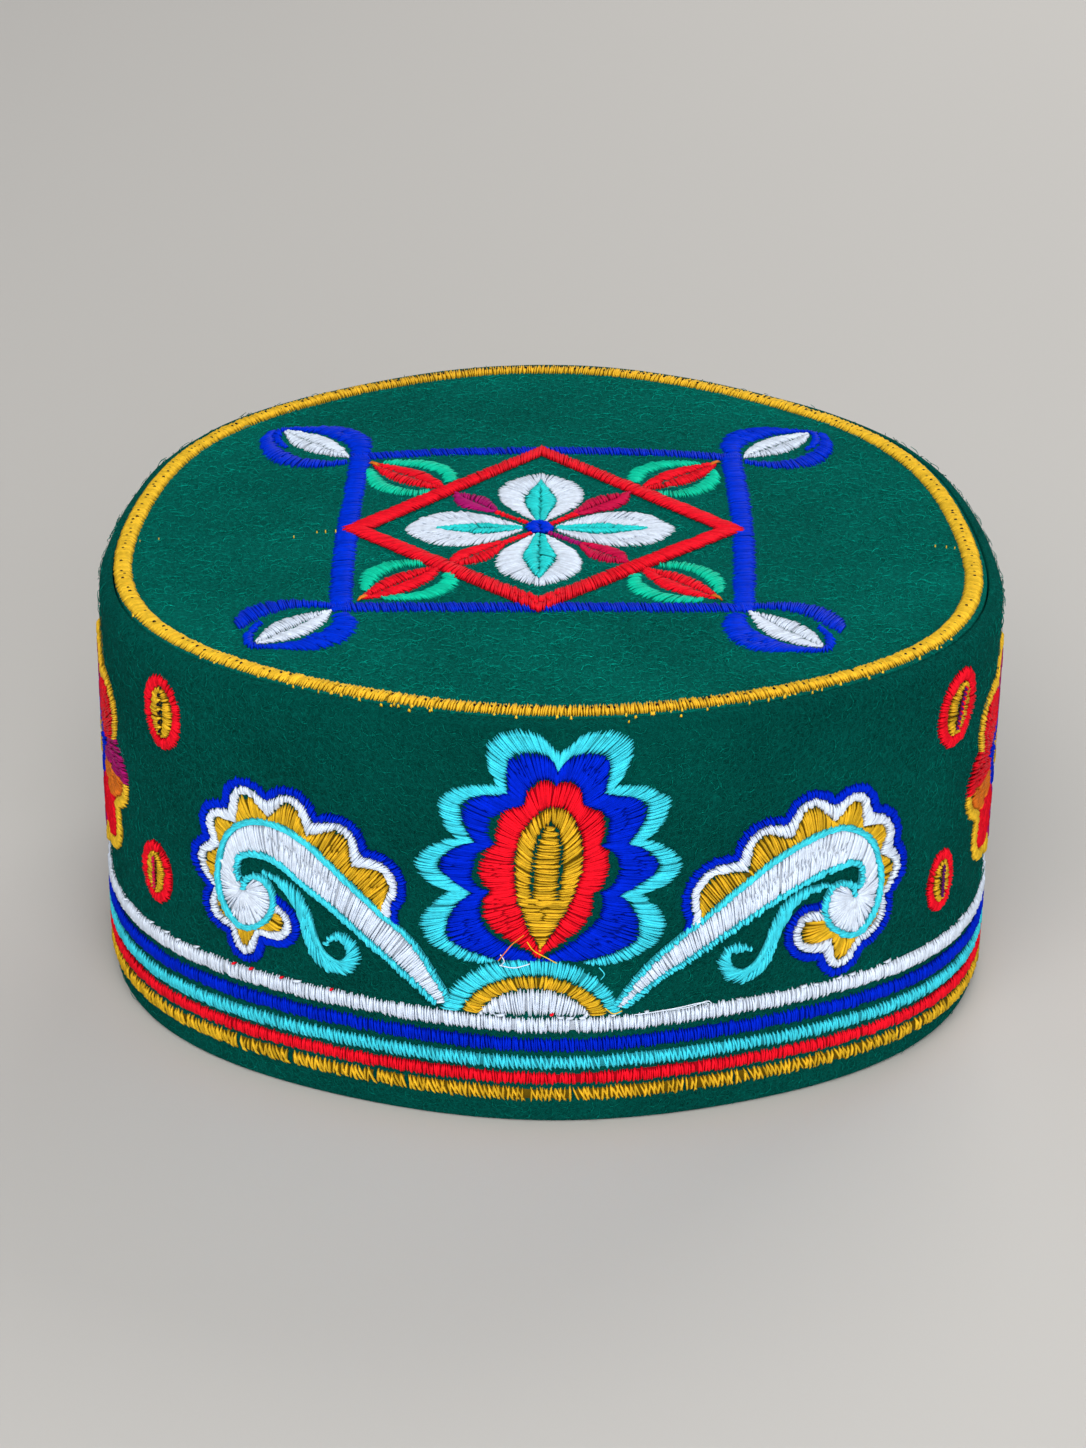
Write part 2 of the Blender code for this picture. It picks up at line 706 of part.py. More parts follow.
def build_top_motifs():
    cx, cy = PATTERN_MIDDLE
    for name, direction, reach, half_width in PETALS:
        angle = math.radians(direction)
        ax = math.cos(angle)
        ay = math.sin(angle)
        start = (cx + PETAL_START * ax, cy + PETAL_START * ay)
        end = (cx + reach * ax, cy + reach * ay)
        length = reach - PETAL_START
        shape = [(length * along, half_width * across) for along, across in PETAL_SHAPE]
        smooth = smooth_run(shape) + [shape[-1]]
        top_patch(name, local_outline(start, end, both_halves(smooth)), "white")
    for name, foot_x, foot_y, tip_x, tip_y in LEAVES:
        length = math.hypot(tip_x - foot_x, tip_y - foot_y)
        shape = [(length * along, LEAF_HALF_WIDTH * across) for along, across in LEAF_SHAPE]
        top_patch(name, local_outline((foot_x, foot_y), (tip_x, tip_y), both_halves(shape)), "red")
    for cups, shape, colour in ((CORNER_CUPS, CORNER_CUP_SHAPE, "blue"), (BUD_CUPS, BUD_CUP_SHAPE, "mint")):
        for name, inner_x, inner_y, outer_x, outer_y, side in cups:
            turned = [(along, side * across) for along, across in shape]
            top_patch(name, local_outline((inner_x, inner_y), (outer_x, outer_y), turned), colour)
    knot = ellipse_outline(cx, cy, KNOB_RADIUS, KNOB_RADIUS, 0.0, KNOB_STEPS)
    top_patch("top_knot", knot, "blue")


def main():
    for thing in list(bpy.data.objects):
        bpy.data.objects.remove(thing, do_unlink=True)
    build_side_band()
    build_crown_top()
    build_gold_ring()
    build_stripes()
    build_wall_motifs()
    build_top_frame()
    build_top_diamond()
    build_top_motifs()


main()
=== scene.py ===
"""Dresses a round felt cap: felt, raised stitched work, stray threads and a plain stage."""

import bisect
import math
import random
from functools import partial

import bmesh
import bpy
from mathutils import Matrix, Vector, noise


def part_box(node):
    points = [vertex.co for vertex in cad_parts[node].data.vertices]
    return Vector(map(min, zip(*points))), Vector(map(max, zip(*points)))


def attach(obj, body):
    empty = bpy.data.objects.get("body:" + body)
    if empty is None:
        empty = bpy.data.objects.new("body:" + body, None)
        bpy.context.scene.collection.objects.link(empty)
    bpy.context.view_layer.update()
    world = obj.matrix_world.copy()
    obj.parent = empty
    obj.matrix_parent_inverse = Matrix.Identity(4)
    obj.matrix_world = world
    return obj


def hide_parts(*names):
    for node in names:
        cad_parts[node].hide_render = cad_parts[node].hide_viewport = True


bl_info = {
    "name": "Embroidered felt cap",
    "version": (1, 0, 0),
    "blender": (4, 5, 0),
    "location": "View3D > Sidebar > Felt cap",
    "description": "Builds a round felt cap with stitched flowers, scrolls and stripes",
    "category": "Add Mesh",
}

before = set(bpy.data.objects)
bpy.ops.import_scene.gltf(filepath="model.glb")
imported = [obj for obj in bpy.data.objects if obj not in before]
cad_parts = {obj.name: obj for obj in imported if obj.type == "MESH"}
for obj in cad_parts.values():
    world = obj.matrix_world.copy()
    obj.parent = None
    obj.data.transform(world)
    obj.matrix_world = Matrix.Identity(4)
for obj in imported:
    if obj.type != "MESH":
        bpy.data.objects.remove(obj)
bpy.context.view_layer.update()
MM = 0.001
BODY = "root"

# Sizes of the solids that the felt follows, in millimetres
MEAN_RADIUS = 94.0
CAP_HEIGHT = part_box("crown_top")[1].z / MM
FELT_THICKNESS = 3.0
TOP_EDGE_RADIUS = 3.0
HEM_INSET = 1.1
SEAM_GAP = 0.3
PLAN_WAVES = (
    (3, -0.0264),
    (4, -0.0120),
    (6, 0.0113),
)

# Gold ring on the top
RING_SHARE = 0.9362
RING_WIDTH = 3.8
RING_LOFT = 1.4
# Loose ends outside the ring: number, spread round the front, share behind, distance, turn and length
RING_ENDS = 55
RING_END_SPREAD = 0.55
RING_END_BEHIND = 0.15
RING_END_AWAY = (0.15, 0.8)
RING_END_TURN = 0.8
RING_END_LENGTH = (0.25, 0.7)
SPECK_LENGTH = (0.25, 0.4)
SPECK_LIFT = -0.6
# The ring bulges outwards on the left: direction and spread in degrees and its depth
RING_BULGE = (-90.0, 40.0, 1.2)
# Needle holes along the ring, drawn as short black strands whose black is painted shade in the holes:
# spacing, half length, height, loft and the share that stays closed
HOLE_SPACING = 1.6
HOLE_HALF = 0.35
HOLE_LIFT = 0.76
HOLE_LOFT = 0.35
HOLES_CLOSED = 0.2

# Gold specks on the top, x and y
TOP_SPECKS = (
    (-85.2, -10.2), (-81.4, -9.1), (-53.6, -7.1), (-49.0, -4.4), (-47.2, -4.3), (-45.1, -4.2),
    (79.5, -7.0), (81.8, -7.6), (83.5, -7.9),
)

# Stripes round the base: node, thread, height of the middle, width, zigzag of the stitches
STRIPES = (
    ("stripe_white", "white", 23.5, 3.5, 0.0),
    ("stripe_blue", "blue", 18.8, 3.2, 0.0),
    ("stripe_turquoise", "turquoise", 14.55, 3.1, 0.45),
    ("stripe_red", "red", 10.85, 2.9, 0.0),
    ("stripe_gold", "gold", 7.1, 3.2, 0.8),
)
# How far the stripes wander up and down
STRIPE_WANDER = 0.12
# Breaks in the gold stripe: length of the run before one, and length of one
GOLD_RUN = (2.5, 11.0)
GOLD_BREAK = (0.4, 0.9)
# Loose ends over the white stripe: number, height over its middle, reach along it and upwards
WHITE_ENDS = 60
WHITE_END_RISE = (1.6, 2.2)
WHITE_END_ALONG = (0.8, 2.0)
WHITE_END_UP = (-0.1, 0.5)
# The stripes dip at both sides: angle from the front, spread, depth
STRIPE_DIPS = (
    (-75.0, 28.0, 1.5),
    (75.0, 28.0, 2.6),
)
# The upper stripes also sag in front: spread of the sag in degrees and its depth at the highest stripe
FRONT_SAG = (17.0, 0.85)

# The drawing of the wall repeats behind: name and place round the wall
PANELS = (
    ("front", 0.0),
    ("back", math.pi * MEAN_RADIUS),
)

# Tall flower: right half of each layer as runs between its notches, mirrored, then leaned
FLOWER_MIDDLE = 0.3
FLOWER_MID_HEIGHT = 56.0
FLOWER_LEAN = 0.075
FLOWER_OUTER = (
    ((0, 82.4), (2, 84.1), (4, 85.9), (6.8, 86.8), (10, 86.7), (12.5, 85.8), (14.1, 84.3), (14.2, 81.9),
     (13.7, 79.1), (12.6, 76.8), (11.4, 75.3)),
    ((11.4, 75.3), (14, 75.2), (17.3, 74.8), (20.3, 73.5), (22.9, 71), (22.1, 67.5), (20.9, 65),
     (18.4, 63.1)),
    ((18.4, 63.1), (21, 62.5), (23.5, 61), (25.7, 58.9), (26.6, 56.5), (25.1, 54), (22.6, 52.4),
     (19, 51.5)),
    ((19, 51.5), (21.2, 49.6), (23.3, 47.2), (24.6, 44.6), (24.2, 42.1), (22.5, 39.6), (19.8, 38),
     (16.5, 36.6),
     (13.2, 36), (10, 36.4), (8.5, 36.6)),
)
FLOWER_BLUE = (
    ((0, 78.2), (0.8, 80), (2.3, 81.6), (5, 82.3), (7.8, 82), (9.5, 80.8), (9.9, 78.3), (9.7, 75.5),
     (9.5, 73.6)),
    ((9.5, 73.6), (12, 73), (15, 72.6), (17.5, 71.2), (18.2, 69.3), (17.6, 66.8), (16.4, 64.6),
     (15.1, 62.6)),
    ((15.1, 62.6), (17.8, 61.6), (20, 60), (21.7, 57.7), (21.4, 56), (19.8, 54.6), (17.3, 53),
     (14.5, 51.4)),
    ((14.5, 51.4), (16.8, 49.4), (18.5, 46.5), (19.1, 43.8), (18.7, 41.1), (15.7, 39.3), (12.3, 38),
     (8.8, 37.1)),
)
FLOWER_FOOT = ((8.8, 37.1), (4, 37.3), (0, 37.5))
# Inner layers of the flower as they lie on the wall, left side and right side of the middle
FLOWER_RED = {
    -1: (
        ((1.6, 75.5), (0.8, 76.4), (-0.9, 76.6), (-2.6, 75.6), (-4.0, 74.0), (-4.5, 71.3)),
        ((-4.5, 71.3), (-7.6, 70.4), (-9.3, 68.4), (-10.1, 65.2), (-10.1, 62.5)),
        ((-10.1, 62.5), (-12.4, 60.9), (-13.3, 58.6), (-13.4, 56.0), (-12.4, 53.5), (-11.0, 52.2)),
        ((-11.0, 52.2), (-12.4, 49.9), (-12.5, 47.0), (-10.9, 44.2), (-8.0, 42.0), (-4.5, 40.2),
         (-1.1, 37.7)),
    ),
    1: (
        ((1.6, 75.5), (2.5, 76.3), (4.2, 76.3), (5.6, 75.7), (6.6, 73.8), (7.1, 71.2)),
        ((7.1, 71.2), (9.4, 70.3), (10.9, 69.0), (11.3, 66.1), (10.4, 62.4)),
        ((10.4, 62.4), (11.9, 61.5), (12.3, 59.0), (12.0, 55.8), (10.8, 53.2), (9.2, 52.1)),
        ((9.2, 52.1), (9.3, 49.8), (8.9, 47.3), (7.0, 44.4), (3.6, 41.5), (0.7, 39.5), (-1.1, 37.7)),
    ),
}
# Inner edge of the blue below its first lobe; the felt shows between it and the red
FLOWER_BLUE_INNER = {
    -1: (
        ((-4.5, 71.3), (-8.5, 69.6), (-10.8, 67.3), (-11.2, 64.1), (-10.1, 62.5)),
        ((-10.1, 62.5), (-13.3, 60.2), (-14.4, 57.2), (-14.4, 54.6), (-13.0, 52.7), (-11.2, 52.2)),
        ((-11.2, 52.2), (-12.9, 49.6), (-12.8, 46.3), (-11.2, 43.2), (-8.5, 41.0), (-4.5, 39.6),
         (-1.1, 37.3)),
    ),
    1: (
        ((7.1, 71.2), (9.7, 70.3), (11.7, 68.5), (12.0, 65.4), (11.3, 62.9), (10.4, 62.4)),
        ((10.4, 62.4), (12.7, 61.2), (14.0, 59.3), (14.2, 56.4), (12.8, 53.4), (10.8, 52.3)),
        ((10.8, 52.3), (11.1, 49.8), (10.4, 46.9), (7.6, 43.6), (3.6, 40.5), (-1.1, 37.3)),
    ),
}
FLOWER_GOLD = {
    -1: (
        ((0.9, 70.8), (-0.8, 70.3), (-2.8, 68.4)),
        ((-2.8, 68.4), (-4.7, 65.5), (-5.9, 61.6)),
        ((-5.9, 61.6), (-6.3, 57.8), (-6.0, 53.3)),
        ((-6.0, 53.3), (-5.3, 49.8), (-4.1, 46.1), (-2.7, 43.0), (-1.1, 39.7)),
    ),
    1: (
        ((0.9, 70.8), (3.2, 70.6), (5.3, 68.2)),
        ((5.3, 68.2), (6.7, 64.3), (7.1, 60.5)),
        ((7.1, 60.5), (6.8, 56.7), (5.7, 52.8)),
        ((5.7, 52.8), (4.1, 49.0), (2.4, 45.7), (0.7, 42.5), (-1.1, 39.7)),
    ),
}
# Middle of the gold almond: foot and head u, v, then half widths of the slit's two edges by height
GOLD_FOOT = (-1.1, 39.7)
GOLD_HEAD = (0.9, 70.8)
GOLD_LOW_ROWS = 51.0
GOLD_OVERLAP = 1.4
GOLD_CORE = ((67.6, 0.3), (65.4, 1.9), (62.0, 2.75), (57.0, 3.0), (53.0, 2.9), (49.8, 2.7))
GOLD_SEED = ((67.0, 0.5), (64.6, 1.6), (61.5, 2.3), (57.0, 2.5), (53.0, 2.45), (49.8, 2.3))

# Arch under the flower: middle, half width and rise of its three layers
ARCH_CENTRE_HEIGHT = 22.0
ARCH_FOOT = 25.0
ARCH_LAYERS = {
    "turquoise": (-2.7, 18.6, 16.0),
    "gold": (-2.0, 15.2, 11.8),
    "white": (-2.0, 11.7, 8.9),
}

# Scrolls, both drawn as on the left: round lobes from the head to the stem, centre u, v and radius
SCROLL_LOBES = {
    "left": (
        (-56.3, 37.3, 5.9),
        (-63.0, 30.6, 4.5),
        (-67.3, 37.2, 5.9),
        (-69.9, 46.6, 6.0),
        (-67.6, 55.4, 5.8),
        (-61.6, 62.0, 5.8),
        (-52.3, 62.3, 6.0),
        (-42.5, 57.9, 6.5),
        (-35.2, 50.5, 7.4),
    ),
    "right": (
        (-54.4, 37.2, 6.9),
        (-60.2, 30.7, 5.3),
        (-64.2, 38.2, 8.4),
        (-68.5, 46.8, 7.2),
        (-65.4, 54.0, 8.2),
        (-61.5, 62.2, 5.8),
        (-52.3, 62.9, 5.9),
        (-43.5, 57.2, 7.5),
        (-34.4, 49.0, 8.9),
    ),
}
SCROLL_START = {
    "left": (-55.7, 44.4),
    "right": (-53.0, 44.2),
}
BLUE_DEPTH = 1.9
# Gold between the lobes and the stem: its depth, and the gaps in it at the head and at the stem's foot
GOLD_DEPTH = 3.7
GOLD_NOTCH = 1.7
GOLD_FIRST_GAP = 3.8
GOLD_LAST_GAP = 3.0
# A notch between two lobes goes at most this share of the way to the stem
NOTCH_LIMIT = 0.92
# Edges of a lobe: depth inside its outline, trim in degrees at both ends, how much deeper the notches go
LOBE_EDGES = (
    (0.0, 14.0, 0.0),
    (BLUE_DEPTH, 14.0, 0.0),
    (GOLD_DEPTH, 26.0, GOLD_NOTCH),
)
EDGING_HALF = 0.65
SCROLL_MIRROR = 1.4
# Rungs across the stem and round the head: outer side u, v and inner side u, v; the right scroll mirrored
SCROLL_PIVOT = (-62.9, 42.9)
STEM_RUNGS = {
    "left": (
        (-19.5, 27.0, -21.7, 26.2),
        (-19.9, 28.9, -22.9, 27.1),
        (-22.2, 32.7, -25.6, 29.5),
        (-24.2, 36.0, -28.4, 31.9),
        (-26.6, 39.2, -31.6, 34.5),
        (-29.5, 41.9, -34.6, 36.9),
        (-33.2, 44.6, -38.0, 39.6),
        (-36.5, 47.3, -41.0, 41.9),
        (-40.6, 50.7, -45.0, 44.8),
        (-44.4, 53.8, -48.8, 47.2),
        (-48.5, 56.9, -51.9, 49.3),
        (-52.6, 58.8, -54.7, 51.0),
        (-56.8, 59.4, -58.3, 51.8),
        (-60.3, 58.8, -62.1, 50.9),
        (-63.8, 56.8, -63.8, 49.4),
        (-66.5, 53.5, -64.1, 46.5),
        (-67.9, 49.4, -63.5, 44.6),
    ),
    "right": (
        (-12.8, 27.2, -14.5, 26.4),
        (-13.9, 28.8, -16.0, 27.9),
        (-17.7, 33.9, -21.0, 31.9),
        (-21.5, 37.8, -25.2, 34.5),
        (-26.1, 41.6, -30.0, 37.3),
        (-31.4, 45.5, -35.2, 40.6),
        (-36.9, 49.8, -40.6, 43.7),
        (-40.8, 52.6, -45.0, 46.1),
        (-44.6, 55.1, -48.2, 47.6),
        (-51.0, 58.0, -53.8, 49.7),
        (-56.8, 59.4, -58.6, 50.7),
        (-60.3, 58.8, -62.1, 50.7),
        (-63.8, 56.8, -63.8, 49.4),
        (-66.5, 53.5, -64.1, 46.5),
        (-67.9, 49.4, -63.5, 44.6),
    ),
}
SCROLL_END = {
    "left": (-29.7, 42.2),
    "right": (-26.1, 41.6),
}
HEAD_RUN = (
    (-67.9, 49.4), (-68.8, 45.3), (-68.5, 41.2), (-67.6, 38.2), (-65.6, 35.3), (-63.2, 34.1), (-60.3, 35.0),
    (-57.4, 37.9), (-55.9, 41.2), (-56.2, 43.8), (-57.4, 46.2), (-59.7, 46.8),
)
HEAD_TIP = ((-59.7, 46.8), (-62.1, 45.3), SCROLL_PIVOT)
# The stitches of the head fan out from a small arc: its radius, then start and end in degrees
PIVOT_RADIUS = 0.5
PIVOT_START = 150.0
PIVOT_END = 370.0

# Small curled tendrils: middle line u, v and half width
TENDRILS = {
    "left": (
        (-58.5, 47.9, 0.4), (-55.0, 46.8, 0.8), (-52.1, 45.0, 1.5), (-50.0, 41.8, 1.6), (-48.8, 38.2, 1.5),
        (-47.9, 34.7, 1.6), (-46.2, 31.8, 1.7), (-43.2, 30.1, 1.5), (-40.3, 31.2, 1.6), (-39.1, 34.1, 1.5),
        (-40.3, 36.8, 1.2), (-42.6, 37.4, 0.9), (-44.4, 35.9, 0.6), (-45.0, 35.0, 0.3),
    ),
    "right": (
        (58.2, 47.0, 0.4), (54.4, 46.6, 0.9), (51.5, 45.7, 1.3), (49.5, 44.0, 1.5), (48.4, 41.9, 1.5),
        (47.2, 39.6, 1.4), (46.4, 37.1, 1.4), (45.5, 34.7, 1.4), (44.3, 32.3, 1.5), (42.3, 30.5, 1.5),
        (39.9, 30.1, 1.5), (37.6, 31.4, 1.5), (36.3, 33.8, 1.4), (36.8, 35.9, 1.1), (38.4, 36.7, 1.0),
        (40.4, 36.5, 0.8), (41.8, 35.6, 0.4),
    ),
}

# Ovals: name, centre u, v, half width, half height, turn, half width and half height of the gold, slit
OVALS = (
    ("upper_left", -82.8, 74.9, 5.3, 8.15, 0.0, 3.15, 5.5, "beads"),
    ("lower_left", -86.7, 37.6, 4.85, 7.0, 0.0, 2.75, 4.6, "red"),
    ("upper_right", 90.1, 75.5, 6.5, 8.3, -15.0, 3.5, 5.6, "lined"),
    ("lower_right", 88.0, 37.6, 4.25, 7.1, 0.0, 2.55, 4.7, "purple"),
)
# Slit of an oval: half width, share of the gold's height, and how near its ends the gold's stitches go
SLIT_HALF = 0.45
SLIT_SHARE = 0.86
SLIT_END = 84.0
# Thread of each kind of slit, then the marks along it: number, share of the gold's height, size and lift
SLIT_THREADS = {
    "beads": "black",
    "red": "cherry",
    "purple": "purple",
    "lined": "purple",
}
SLIT_MARKS = 9
MARKS_SHARE = 0.8
MARK_HALF = 0.42
MARK_REACH = 0.5
LINE_REACH = 0.6
MARK_LIFT = 0.42
BEAD_LIFT = 0.5

# Round side flowers: node, centre u, v, seed, petal that faces forwards, turn of its dot, its upper thread
ROSETTES = (
    ("rosette_left", -121.8, 52.0, 300, 0, 0.35, "magenta"),
    ("rosette_right", 121.2, 52.4, 310, 4, -0.35, "red"),
)
ROSETTE_PETALS = 8
ROSETTE_REACH = 17.0
PETAL_RADIUS = 8.0
PETAL_TRIM = 0.15
ROSETTE_EDGE = 2.5
ROSETTE_HEART = 9.0
ROSETTE_EYE = 5.0
ROSETTE_CORE = 0.4
# Dot on the petal that faces forwards: distance from the heart, then half sizes of its rim and its core
DOT_AWAY = 1.5
DOT_SIZES = ((2.2, 1.4), (0.3, 0.2))

# Bars of the square frame on the top: middle line x, y points and width
FRAME_BARS = (
    (((-41.7, -41.9), (-42.4, -20.0), (-42.5, 0.0), (-42.2, 20.0), (-41.9, 38.6)), 4.8),
    (((-43.9, 36.9), (-31.0, 39.4), (-20.0, 41.0), (-2.0, 42.4), (11.0, 42.5), (24.0, 41.9),
     (41.2, 39.6)), 4.4),
    (((39.2, 41.3), (39.9, 20.0), (40.1, 0.0), (39.5, -20.0), (38.5, -39.5)), 4.9),
    (((40.3, -37.9), (20.0, -38.2), (-2.0, -38.8), (-22.0, -39.5), (-44.0, -40.2)), 4.8),
)
DIAMOND_OUTER = ((-2.4, 44.4), (40.9, 0.4), (-2.4, -41.7), (-44.2, -2.4))
DIAMOND_INNER = ((-2.4, 38.7), (34.4, 0.3), (-2.4, -34.6), (-37.6, -2.4))
KNOT_MIDDLE = (-2.4, -0.25)
KNOT_HALF = 3.0

# White petals round the knot: name, direction, start, reach and half width, then start, reach and half width
# of the leaf in it
TOP_PETALS = (
    ("back", 90.0, 3.4, 29.9, 9.2, 3.4, 25.4, 3.4),
    ("front", -90.0, 2.9, 28.5, 9.1, 3.3, 25.0, 3.4),
    ("right", 1.5, 3.0, 28.6, 9.05, 3.4, 22.6, 2.6),
    ("left", 182.5, 3.6, 28.3, 9.0, 3.6, 21.6, 2.6),
)
PETAL_SHAPE = ((0.0, 0.04), (0.12, 0.40), (0.34, 0.86), (0.57, 1.0), (0.78, 0.84), (0.93, 0.40), (1.0, 0.03))
PETAL_LEAF_SHAPE = ((0.0, 0.30), (0.25, 0.62), (0.50, 1.0), (0.75, 0.62), (1.0, 0.03))

# Leaves on stems: name, foot x, y, start of the leaf, tip, thread of the stem and of the leaf
TOP_LEAVES = (
    ("back_left", (-4.4, 1.9), (-11.9, 8.1), (-20.8, 17.7), "red", "magenta"),
    ("back_right", (-0.6, 1.5), (5.0, 7.5), (16.7, 19.1), "red", "cherry"),
    ("front_left", (-4.1, -2.5), (-10.0, -8.1), (-20.7, -19.5), "red", "red"),
    ("front_right", (-0.6, -2.2), (6.2, -8.1), (15.7, -17.0), "magenta", "cherry"),
)
LEAF_HALF_WIDTH = 3.7
LEAF_SHAPE = ((0.0, 0.24), (0.22, 0.62), (0.48, 1.0), (0.72, 0.86), (0.9, 0.42), (1.0, 0.04))
STEM_SHAPE = ((0.0, 0.16), (0.5, 0.2), (1.0, 0.26))

# Almonds with a cup on each side: their half widths, then name, inner tip, outer tip
CORNER_HALF = 4.2
BUD_HALF = 4.0
CORNER_ALMONDS = (
    ("front_left", (-43.5, -42.2), (-57.1, -57.5)),
    ("front_right", (39.7, -40.0), (53.1, -55.6)),
    ("back_right", (41.9, 40.0), (56.9, 53.7)),
    ("back_left", (-44.6, 36.9), (-59.4, 51.0)),
)
BUD_ALMONDS = (
    ("front_left", (-22.1, -19.6), (-37.6, -36.4)),
    ("front_right", (18.2, -19.2), (33.4, -33.8)),
    ("back_right", (18.9, 21.0), (35.6, 35.8)),
    ("back_left", (-22.5, 20.0), (-38.8, 32.5)),
)
ALMOND_SHAPE = ((0.0, 0.04), (0.2, 0.62), (0.45, 1.0), (0.7, 0.86), (0.9, 0.40), (1.0, 0.03))
# One side of each cup: outer and inner run as millimetres along the almond and across it.
# A corner's cup wraps the tip on one side only: the side, then its runs and the runs of the other side.
CORNER_WRAP_SIDE = {"front_left": 1, "front_right": -1, "back_right": 1, "back_left": -1}
CORNER_CUP_WRAPPED = (
    ((-2.4, 3.3), (-0.7, 6.8), (1.8, 9.2), (5.5, 11.4), (9.5, 12.0), (13.5, 11.2), (16.2, 9.2), (18.2, 6.2),
     (21.0, 3.0), (22.8, 0.0), (20.6, -3.6), (17.5, -5.6), (13.0, -7.0)),
    ((1.0, 1.4), (2.8, 3.4), (6.5, 4.9), (11.0, 5.0), (15.2, 4.2), (18.8, 2.4), (20.8, 0.2), (20.0, -1.6),
     (17.0, -4.0), (13.5, -5.6)),
)
CORNER_CUP = (
    ((-2.6, 2.8), (-0.4, 7.4), (2.6, 11.0), (7.2, 13.4), (12.3, 13.0), (16.6, 10.8)),
    ((-1.0, 1.2), (2.0, 4.5), (5.8, 6.9), (10.5, 7.7), (15.0, 7.3), (18.2, 7.0)),
)
CORNER_CUP_CLOSED = (
    ((-2.6, 2.8), (-0.4, 7.4), (2.6, 11.0), (7.2, 13.4), (12.3, 13.0), (16.6, 10.8), (20.6, 7.4),
     (23.0, 3.2)),
    ((-1.0, 1.2), (2.0, 4.5), (5.8, 6.9), (10.5, 7.5), (15.0, 6.7), (18.6, 4.9), (21.0, 2.9), (22.4, 0.6)),
)
BUD_CUP = (
    ((1.2, 4.4), (3.0, 7.4), (6.5, 9.6), (10.5, 10.0), (14.0, 9.2), (17.4, 6.6), (20.0, 3.2)),
    ((2.6, 2.5), (4.6, 4.3), (7.6, 5.5), (10.6, 5.5), (13.6, 4.7), (16.6, 3.3), (19.4, 1.6)),
)
# Strands of the flame at a bud's tip: distance from its line, reach inwards and outwards, closing, lift
FLAME_SHIFT = 0.25
FLAME_INWARDS = 1.6
FLAME_OUTWARDS = 1.4
FLAME_CLOSING = 0.3
FLAME_LIFT = 0.3
# The work in the middle of the top lies low and a little nearer than drawn
TOP_SHIFT = -0.6
TOP_SINK = 0.12
TOP_LOFT = 0.75

# Colours in linear light
THREADS = {
    "white": (0.70, 0.78, 0.90),
    "blue": (0.0010, 0.021, 0.60),
    "royal": (0.0, 0.032, 0.68),
    "turquoise": (0.056, 0.68, 0.81),
    "red": (0.88, 0.009, 0.024),
    "gold": (0.80, 0.48, 0.024),
    "mint": (0.005, 0.62, 0.39),
    "aqua": (0.025, 0.68, 0.68),
    "magenta": (0.42, 0.010, 0.16),
    "cherry": (0.62, 0.008, 0.07),
    "yellow": (0.90, 0.55, 0.035),
    "orange": (0.80, 0.20, 0.02),
    "purple": (0.10, 0.008, 0.12),
    "black": (0.012, 0.010, 0.020),
}
# How much the strands of a thread differ in tone, then the painted shade at their ends, where they dive into
# the felt, and the painted shade on their bed between the strands
PLAIN_TONE_AND_PAINTED_SHADE = (0.20, 0.55, 0.45)
THREAD_TONE_AND_PAINTED_SHADE = {
    "white": (0.10, 0.80, 0.66),
    "gold": (0.40, 0.50, 0.22),
}
# Tone that marks the padded bed's points, which the thread's finish darkens as painted shade between the
# strands
PADDING_TONE = -1.0
# A long stitch is laid in pieces of about this length, which lap over one another
LONG_STITCH = 4.6
WHITE_STITCH = 5.2
STITCH_LAP = 0.45
# A strand is shaped this much slimmer than long, then stretched, so that its ends stay square to it
SLIM = 0.01
# Turn of a strand's three-sided section, in degrees, so that one edge points away from the felt
SECTION_TURN = -90.0

